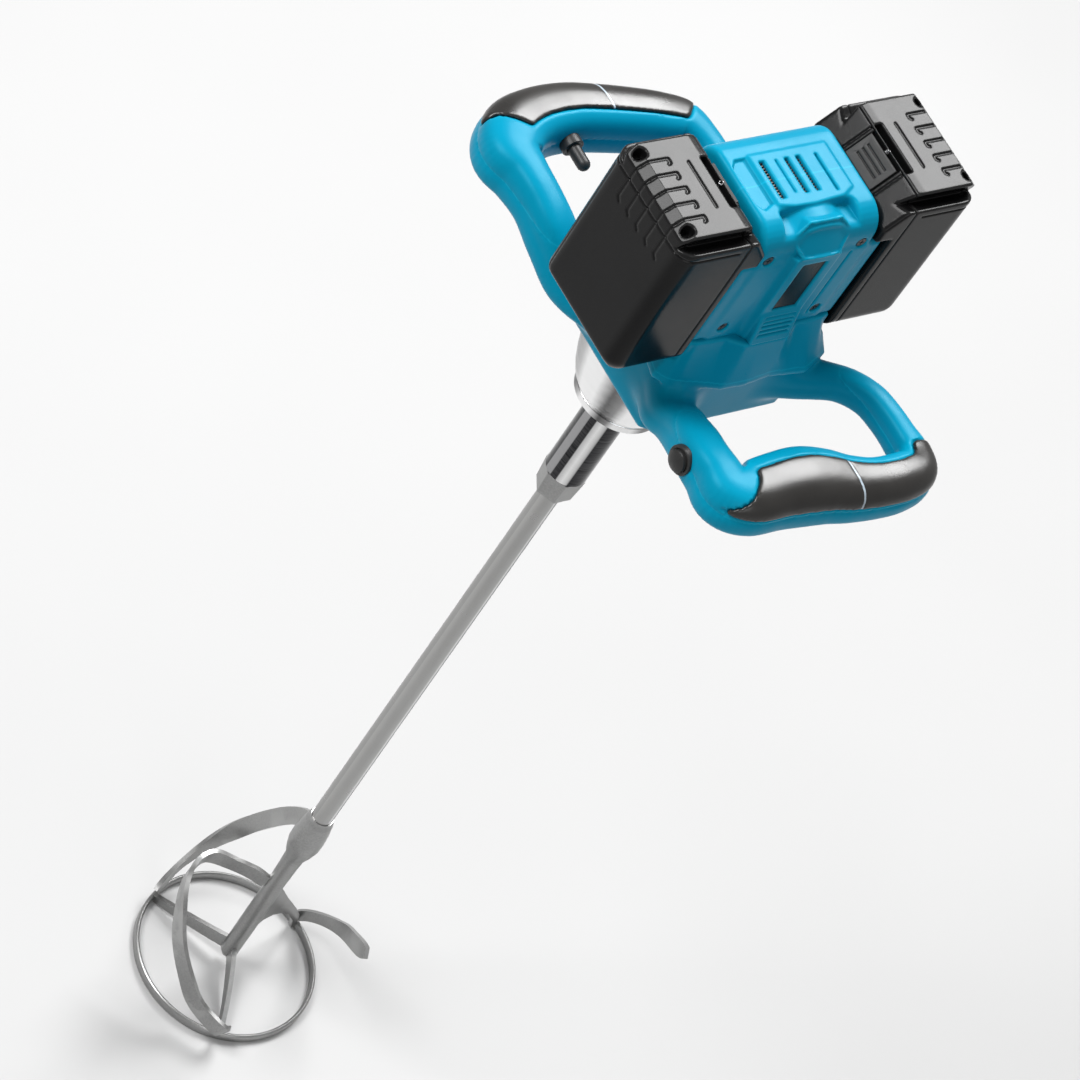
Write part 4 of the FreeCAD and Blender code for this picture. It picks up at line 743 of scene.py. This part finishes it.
def hood(f):
    """Six-cornered bowed plate, with a fine raised rim, that leans over the display."""
    y, z = f.y - HOOD_MIDDLE[0], f.z - HOOD_MIDDLE[1]
    out = z * math.cos(HOOD_LEAN) - y * math.sin(HOOD_LEAN) + HOOD_BOW * f.x ** 2
    flat = outline_distance(f.x, y * math.cos(HOOD_LEAN) + z * math.sin(HOOD_LEAN), HOOD)
    plate = extrude(flat, out, -11.0, 0.0, 0.6)
    return carve(plate, np.maximum(flat + HOOD_RIM, -HOOD_RIM_HEIGHT - out), 0.3)


def brow(f):
    """Sunken bay between the vent deck and the hood, with a rounded saddle down its middle."""
    bay = block(f, (-25, -62, 822), (25, -31.5, 850), 3.0)
    saddle = extrude(np.hypot(f.x * 0.55, f.z - 823.5) - 10.6, f.y, -46, -29, 2.0)
    return bay, saddle


LOUVRES = 5
LOUVRE_PITCH = 3.1
LOUVRE_HEIGHT = 1.3
LOUVRE_STEP_BACK = 0.62              # each slot ends this much further in than the one below


def louvres(f):
    """Wedge below the display, cut by a stack of slots."""
    wedge_outline = [(FRONT_Y + 3, BELT_TOP), (-58.0, BELT_TOP), (-57.4, 753), (-54.6, 769), (-53.4, 771.5),
                     (FRONT_Y + 3, 771.5)]
    wedge = prism(f, "x", wedge_outline, -14, 14, 1.2)
    for k in range(LOUVRES):
        z = 754.8 + LOUVRE_PITCH * k
        end_y = -52.6 - LOUVRE_STEP_BACK * (LOUVRES - 1 - k)
        slot = block(f, (-10.5, AHEAD_Y, z), (10.5, end_y, z + LOUVRE_HEIGHT), 0.4)
        wedge = carve(wedge, slot, 0.3)
    return wedge


# Vent slots in the deck: x, width, first y, last y, depth.
VENTS = [(-18.0, 3.6, -25.5, -1.0, 15), (-1.4, 3.0, -24.5, -1.5, 15), (6.4, 3.0, -24.5, -1.5, 15),
         (18.4, 1.5, -26.5, -2.0, 5), (-8.6, 0.9, -23.5, -1.5, 1.2)]
# Plans of the raised deck and of the shallow trough beside it.
DECK = [(-24, 4), (29, 4), (29, -26), (20, -30.5), (0, -32), (-14, -31.5), (-24, -29)]
DECK_RISE = 0.9
TROUGH = [(-36.5, -1), (-33, 3), (-26, 3), (-26, -27), (-33, -30), (-36.5, -26)]
TROUGH_DEPTH = 1.6
SCREWS = [(sx * 32.0, z) for sx in (-1, 1) for z in (760.0, 815.5)]
SCREW_HEAD_RADIUS = 3.3
SCREW_SHANK_RADIUS = 1.8
WINDOW_GAP = 0.3
REAR_SLOTS = 4
REAR_SLOT_PITCH = 5.0
REAR_SLOT_HEIGHT = 2.4


def dock_recess(f, side):
    """Flat recess that a battery dock block fills."""
    x = sorted((side * (CROWN_HALF_X + 0.2), side * 60))
    return block(f, (x[0], MOTOR_Y - 25, 752), (x[1], MOTOR_Y + 25, 840), 1.0)


def housing_field(f):
    """Outer form of the motor housing, with its openings cut."""
    main = block(f, (-HOUSING_HALF_X, FRONT_Y, BELT_TOP), (HOUSING_HALF_X, BACK_Y, SHOULDER_TOP), 4.0)
    body = join(main, crown(f), 3.0)
    display_pod = prism(f, "z", [(-20.5, FRONT_Y + 3), (-14.8, -53.4), (14.8, -53.4), (20.5, FRONT_Y + 3)],
                        BELT_TOP, 817, 0.8)
    body = join(body, display_pod, 1.5)
    bay, saddle = brow(f)
    body = carve(body, overlap(bay, BAY_FLOOR - f.z), 2.5)
    body = join(body, saddle, 2.0)
    body = join(body, hood(f), 0.2)
    body = join(body, louvres(f), 1.0)
    body = join(body, prism(f, "z", DECK, HOUSING_TOP - 3, HOUSING_TOP + DECK_RISE, 0.8), 1.2)
    for side in (-1, 1):
        body = carve(body, dock_recess(f, side), 1.0)
    for x, width, y0, y1, deep in VENTS:
        slot = block(f, (x - width / 2, y0, HOUSING_TOP - deep), (x + width / 2, y1, HOUSING_TOP + 9), 0.4)
        body = carve(body, slot, 0.3)
    trough = prism(f, "z", TROUGH, HOUSING_TOP - TROUGH_DEPTH, HOUSING_TOP + 9, 0.6)
    body = carve(body, trough, 0.8)
    panel_line = block(f, (26.6, AHEAD_Y, 757), (27.8, FRONT_Y + 0.9, 811), 0.4)
    body = carve(body, panel_line, 0.4)
    window = block(f, (WINDOW_LOW[0] - WINDOW_GAP, AHEAD_Y, WINDOW_LOW[2] - WINDOW_GAP),
                   (WINDOW_HIGH[0] + WINDOW_GAP, -40, WINDOW_HIGH[2] + WINDOW_GAP), 0.6)
    body = carve(body, window, 0.6)
    for x, z in SCREWS:
        body = carve(body, bar(f, "y", (x, z), SCREW_HEAD_RADIUS, FRONT_Y - 20, FRONT_Y + 2.4), 0.8)
        body = carve(body, bar(f, "y", (x, z), SCREW_SHANK_RADIUS, FRONT_Y - 20, FRONT_Y + 30))
    for k in range(REAR_SLOTS):
        z = 790.0 + REAR_SLOT_PITCH * k
        slot = block(f, (-24, BACK_Y - 5, z), (24, BACK_Y + 9, z + REAR_SLOT_HEIGHT), 1.0)
        body = carve(body, slot, 0.8)
    return body


CAVITY_TOP = 822.0
HOUSING_GRID = 0.7


def housing_pieces():
    """Motor housing shells, parted at MOTOR_Y."""
    f = Field((-HOUSING_HALF_X - 2, FRONT_Y - 11, BELT_TOP - 2),
              (HOUSING_HALF_X + 2, BACK_Y + 3, HOUSING_TOP + 5), HOUSING_GRID)
    body = housing_field(f)
    cavity = block(f, (-33, FRONT_Y + 6, BELT_TOP - 9), (33, BACK_Y - 6, CAVITY_TOP), 4.0)
    points, quads = skin(f, carve(body, cavity))
    points = relax(points, quads, 2)
    for name in ("front", "rear"):
        half = piece("shell_housing_" + name, points, quads, "tool_body", BLUE, "blue_shell",
                     ["housing_" + name])
        part_along(half, 1, MOTOR_Y, name == "rear")


housing_pieces()


# Dark grid and backing under the vent slots: painted shade standing in for the dark inside of the vents.
SHADE_GRID_PITCH = 1.8
SHADE_GRID_BAR = 0.7
SHADE_GRID_Z = HOUSING_TOP - 1.4


def vent_painted_shade():
    """Dark grid under the vent slots, put there as painted shade for the dark inside of the vents: bars one
    way, bars across, a backing.
    """
    bm = bmesh.new()
    x0, x1, y0, y1 = -24.0, 28.0, -28.5, 2.0
    bars = []
    for k in range(int((y1 - y0) / SHADE_GRID_PITCH)):
        y = y0 + k * SHADE_GRID_PITCH
        bars.append((x0, y, x1, y + SHADE_GRID_BAR, SHADE_GRID_Z))
    for k in range(int((x1 - x0) / SHADE_GRID_PITCH)):
        x = x0 + k * SHADE_GRID_PITCH
        bars.append((x, y0, x + SHADE_GRID_BAR, y1, SHADE_GRID_Z - SHADE_GRID_BAR))
    bars.append((x0, y0, x1, y1, SHADE_GRID_Z - 2.5 * SHADE_GRID_BAR))
    for a, b, c, d, level in bars:
        middle = Vector(((a + c) / 2, (b + d) / 2, level)) * MM
        size = Matrix.Diagonal(((c - a) * MM, (d - b) * MM, SHADE_GRID_BAR * MM, 1))
        bmesh.ops.create_cube(bm, size=1.0, matrix=Matrix.Translation(middle) @ size)
    mesh = bpy.data.meshes.new("vent_painted_shade")
    bm.to_mesh(mesh)
    bm.free()
    obj = bpy.data.objects.new("vent_painted_shade", mesh)
    bpy.context.scene.collection.objects.link(obj)
    mesh.materials.append(CABLE)
    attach(obj, "tool_body")


vent_painted_shade()


# ---------------------------------------------------------------- battery packs, shaped on +X and mirrored
PACK_Y0, PACK_Y1 = OUTER_LOW[1], OUTER_HIGH[1]
PACK_TOP = OUTER_HIGH[2]
PACK_BOTTOM = OUTER_LOW[2]
PACK_OUT = OUTER_HIGH[0]
CREASE_X = OUTER_LOW[0]
RAISED_HALF_Y = 30.7                # half depth of the raised middle of the pack's top
SHOULDER_DROP = 9.0
FOOT_ROUND = 11.0
FOOT_IN = 50.6                      # inner side of the pack below its latch block
LATCH_LOW_Z = 825.0


def pack_block(f):
    """Whole pack before it is parted: sloping latch face, crowned top, stepped shoulders, rounded foot."""
    side = [(INNER_LOW[0], LATCH_LOW_Z), (CREASE_X, PACK_TOP - 0.4), (62, PACK_TOP + 0.4),
            (PACK_OUT - 6, PACK_TOP + 0.6), (PACK_OUT, PACK_TOP - 4.5), (PACK_OUT, PACK_BOTTOM + 8),
            (PACK_OUT - 8, PACK_BOTTOM), (FOOT_IN, PACK_BOTTOM), (FOOT_IN, 815), (INNER_LOW[0], 815)]
    flat = outline_distance(f.x, f.z, side)
    body = extrude(flat, f.y, PACK_Y0, PACK_Y1, 2.6)
    body = overlap(body, block(f, (20, PACK_Y0, PACK_BOTTOM), (PACK_OUT, PACK_Y1, 900), FOOT_ROUND), 1.0)
    for sign in (-1, 1):
        y = sign * (f.y - MOTOR_Y)
        drop = (PACK_TOP - SHOULDER_DROP) - f.z
        step = np.maximum(RAISED_HALF_Y + 1.0 + (f.z - PACK_TOP) * 0.35 - y, drop + 0.3 * (y - RAISED_HALF_Y))
        body = carve(body, step, 1.6)
    return body


def stroke(u, v, path, width):
    """Distance to a line of constant width along a path in the (u, v) plane."""
    nearest = None
    for (u0, v0), (u1, v1) in zip(path, path[1:]):
        du, dv = u1 - u0, v1 - v0
        t = np.clip(((u - u0) * du + (v - v0) * dv) / (du * du + dv * dv), 0, 1)
        distance = np.hypot(u - u0 - t * du, v - v0 - t * dv)
        nearest = distance if nearest is None else np.minimum(nearest, distance)
    return nearest - width / 2


GROOVE_PITCH = 9.4
GROOVE_WIDTH = 0.9
GROOVE_DEPTH = 0.8
PACK_GRID = 0.6


def grooves(f):
    """Bracket-shaped lines that wrap from the top face over the outer edge."""
    unrolled = (PACK_TOP - f.z) - (PACK_OUT - f.x)
    lines = None
    for k in range(-2, 3):
        y = MOTOR_Y + GROOVE_PITCH * k
        path = [(y - 3.6, -17.5), (y - 2.6, -19), (y, -19), (y, 25), (y - 2.6, 27)]
        line = stroke(f.y, unrolled, path, GROOVE_WIDTH)
        lines = line if lines is None else np.minimum(lines, line)
    return lines


def panel_lines(f):
    """Engraved frame on the outer face and a line beside the slot on the top."""
    y0, y1, z0, z1 = PACK_Y0 + 7, PACK_Y1 - 5.5, PACK_BOTTOM + 6, PACK_TOP - 16
    frame_line = stroke(f.y, f.z, [(y0 + 4, z0), (y1 - 3, z0), (y1, z0 + 3), (y1, z1)], GROOVE_WIDTH)
    frame_line = np.maximum(frame_line, PACK_OUT - 3 - f.x)
    top_line = stroke(f.x, f.y, [(71, MOTOR_Y - 15), (71, MOTOR_Y + 15)], GROOVE_WIDTH)
    return np.minimum(frame_line, np.maximum(top_line, PACK_TOP - 3 - f.z))


def pack_fields(f):
    """Outer case and inner case of a pack."""
    body = pack_block(f)
    lines = np.minimum(grooves(f), panel_lines(f))
    body = carve(body, np.maximum(lines, -(body + GROOVE_DEPTH)), 0.3)
    slot = block(f, (57.5, MOTOR_Y - 16.5, PACK_TOP - 5.5), (62.2, MOTOR_Y + 16.5, PACK_TOP + 9), 1.0)
    body = carve(body, slot, 0.8)
    for sign in (-1, 1):
        corner = (PACK_OUT - 5.5, MOTOR_Y + sign * 25.2)
        body = carve(body, bar(f, "z", corner, SCREW_HEAD_RADIUS, PACK_TOP - 9, PACK_TOP + 9), 0.9)
    outer = overlap(body, CREASE_X + 0.15 - f.x, 0.6)
    seam = np.maximum(np.abs(f.z - (PACK_TOP - 12.5)) - 0.4, -(body + 0.9))
    outer = carve(outer, np.maximum(seam, CREASE_X + 6 - f.x), 0.4)
    inner = overlap(body, f.x - CREASE_X + 0.15, 0.6)
    rail = block(f, (INNER_LOW[0], MOTOR_Y - 24, 752.5), (54, MOTOR_Y + 24, 830), 1.0)
    inner = join(inner, overlap(rail, f.z - 820))
    return outer, inner


LATCH_SLOPE = math.atan2(PACK_TOP - LATCH_LOW_Z, CREASE_X - INNER_LOW[0])


def latch_axes(f):
    """Distance up the sloping latch face and out from it."""
    x, z = f.x - INNER_LOW[0], f.z - LATCH_LOW_Z
    up = x * math.cos(LATCH_SLOPE) + z * math.sin(LATCH_SLOPE)
    return up, z * math.cos(LATCH_SLOPE) - x * math.sin(LATCH_SLOPE)


def latch_pocket(f):
    """Recess in the sloping face that the release button slides in."""
    up, out = latch_axes(f)
    side = np.abs(f.y - MOTOR_Y) - 13.4
    return np.maximum(np.maximum(side, np.maximum(5.0 - up, up - 25.8)), -4.2 - out)


def latch_frame(f):
    """Engraved frame round the release button."""
    up, out = latch_axes(f)
    half = 16.2
    path = [(25, -half), (4.5, -half), (2.6, -half + 2),
            (2.6, half - 2), (4.5, half), (25, half)]
    line = stroke(up, f.y - MOTOR_Y, path, GROOVE_WIDTH)
    return np.maximum(line, np.abs(out) - GROOVE_DEPTH)


def flip_x(points, quads):
    """Mirror image, with the faces still turned outward."""
    return points * (-1, 1, 1), quads[:, ::-1]


def pack_pieces():
    """Both cases of both packs."""
    f = Field((INNER_LOW[0] - 2, PACK_Y0 - 2, PACK_BOTTOM - 2),
              (PACK_OUT + 2, PACK_Y1 + 2, PACK_TOP + 3), PACK_GRID)
    outer, inner = pack_fields(f)
    inner = carve(inner, latch_pocket(f), 0.5)
    inner = carve(inner, latch_frame(f), 0.3)
    for part, field in (("outer", outer), ("inner", inner)):
        points, quads = skin(f, field)
        points = relax(points, quads, 2)
        for side, shape in (("right", (points, quads)), ("left", flip_x(points, quads))):
            name = f"battery_{side}"
            piece(f"shell_{name}_{part}", *shape, name, BLACK, "pack_black", [f"{name}_{part}_case"])


pack_pieces()

# ---------------------------------------------------------------- floor, light, camera
FLOOR_SIZE = 8.0
FLOOR_GREY = ((0.50, 0.50, 0.50), (0.53, 0.53, 0.53))
SKY_STRENGTH = 0.45


def floor():
    """Plain pale floor."""
    n = Nodes("floor")
    clouds = n.noise(1.2, 3.0)
    n.bump(n.noise(220.0), 0.05, 0.0002)
    n.finish(n.mix(n.band(clouds, 0.3, 0.7, 0.0, 1.0), *FLOOR_GREY), 0.7)
    half = FLOOR_SIZE / 2
    mesh = bpy.data.meshes.new("floor")
    corners = [(-half, -half, 0), (half, -half, 0), (half, half, 0), (-half, half, 0)]
    mesh.from_pydata(corners, [], [(0, 1, 2, 3)])
    mesh.materials.append(n.material)
    obj = bpy.data.objects.new("floor", mesh)
    bpy.context.scene.collection.objects.link(obj)


def light(name, place, target, size, power):
    """Square soft box that faces the target."""
    data = bpy.data.lights.new(name, "AREA")
    data.shape = "RECTANGLE"
    data.size = data.size_y = size
    data.energy = power
    obj = bpy.data.objects.new(name, data)
    obj.location = place
    obj.rotation_euler = (Vector(target) - Vector(place)).to_track_quat("-Z", "Y").to_euler()
    bpy.context.scene.collection.objects.link(obj)


def studio():
    """Even white surround with three soft boxes."""
    world = bpy.data.worlds.new("studio")
    world.use_nodes = True
    sky = world.node_tree.nodes["Background"].inputs
    sky["Color"].default_value = (1, 1, 1, 1)
    sky["Strength"].default_value = SKY_STRENGTH
    bpy.context.scene.world = world
    bpy.context.scene.view_settings.view_transform = "Standard"
    head = (0, 0, 0.75)
    light("key", (1.55, 0.95, 2.65), head, 1.2, 90)
    light("left", (-1.46, 0.95, 2.62), head, 1.1, 62)
    light("fill", (-1.0, -2.6, 2.0), head, 1.6, 14)


def camera():
    """Long lens from the front left and above, rolled so that the rod runs across the frame."""
    data = bpy.data.cameras.new("camera")
    data.lens = 150
    data.sensor_width = 36
    data.clip_end = 50
    obj = bpy.data.objects.new("camera", data)
    bpy.context.scene.collection.objects.link(obj)
    right = Vector((0.78681, -0.46972, 0.40037)).normalized()
    back = Vector((-0.58682, -0.36832, 0.72110)).normalized()
    up = back.cross(right).normalized()
    right = up.cross(back)
    turn = Matrix((right, up, back)).transposed().to_4x4()
    obj.matrix_world = Matrix.Translation((-1.5078, -0.9595, 2.354)) @ turn
    bpy.context.scene.camera = obj


floor()
studio()
camera()
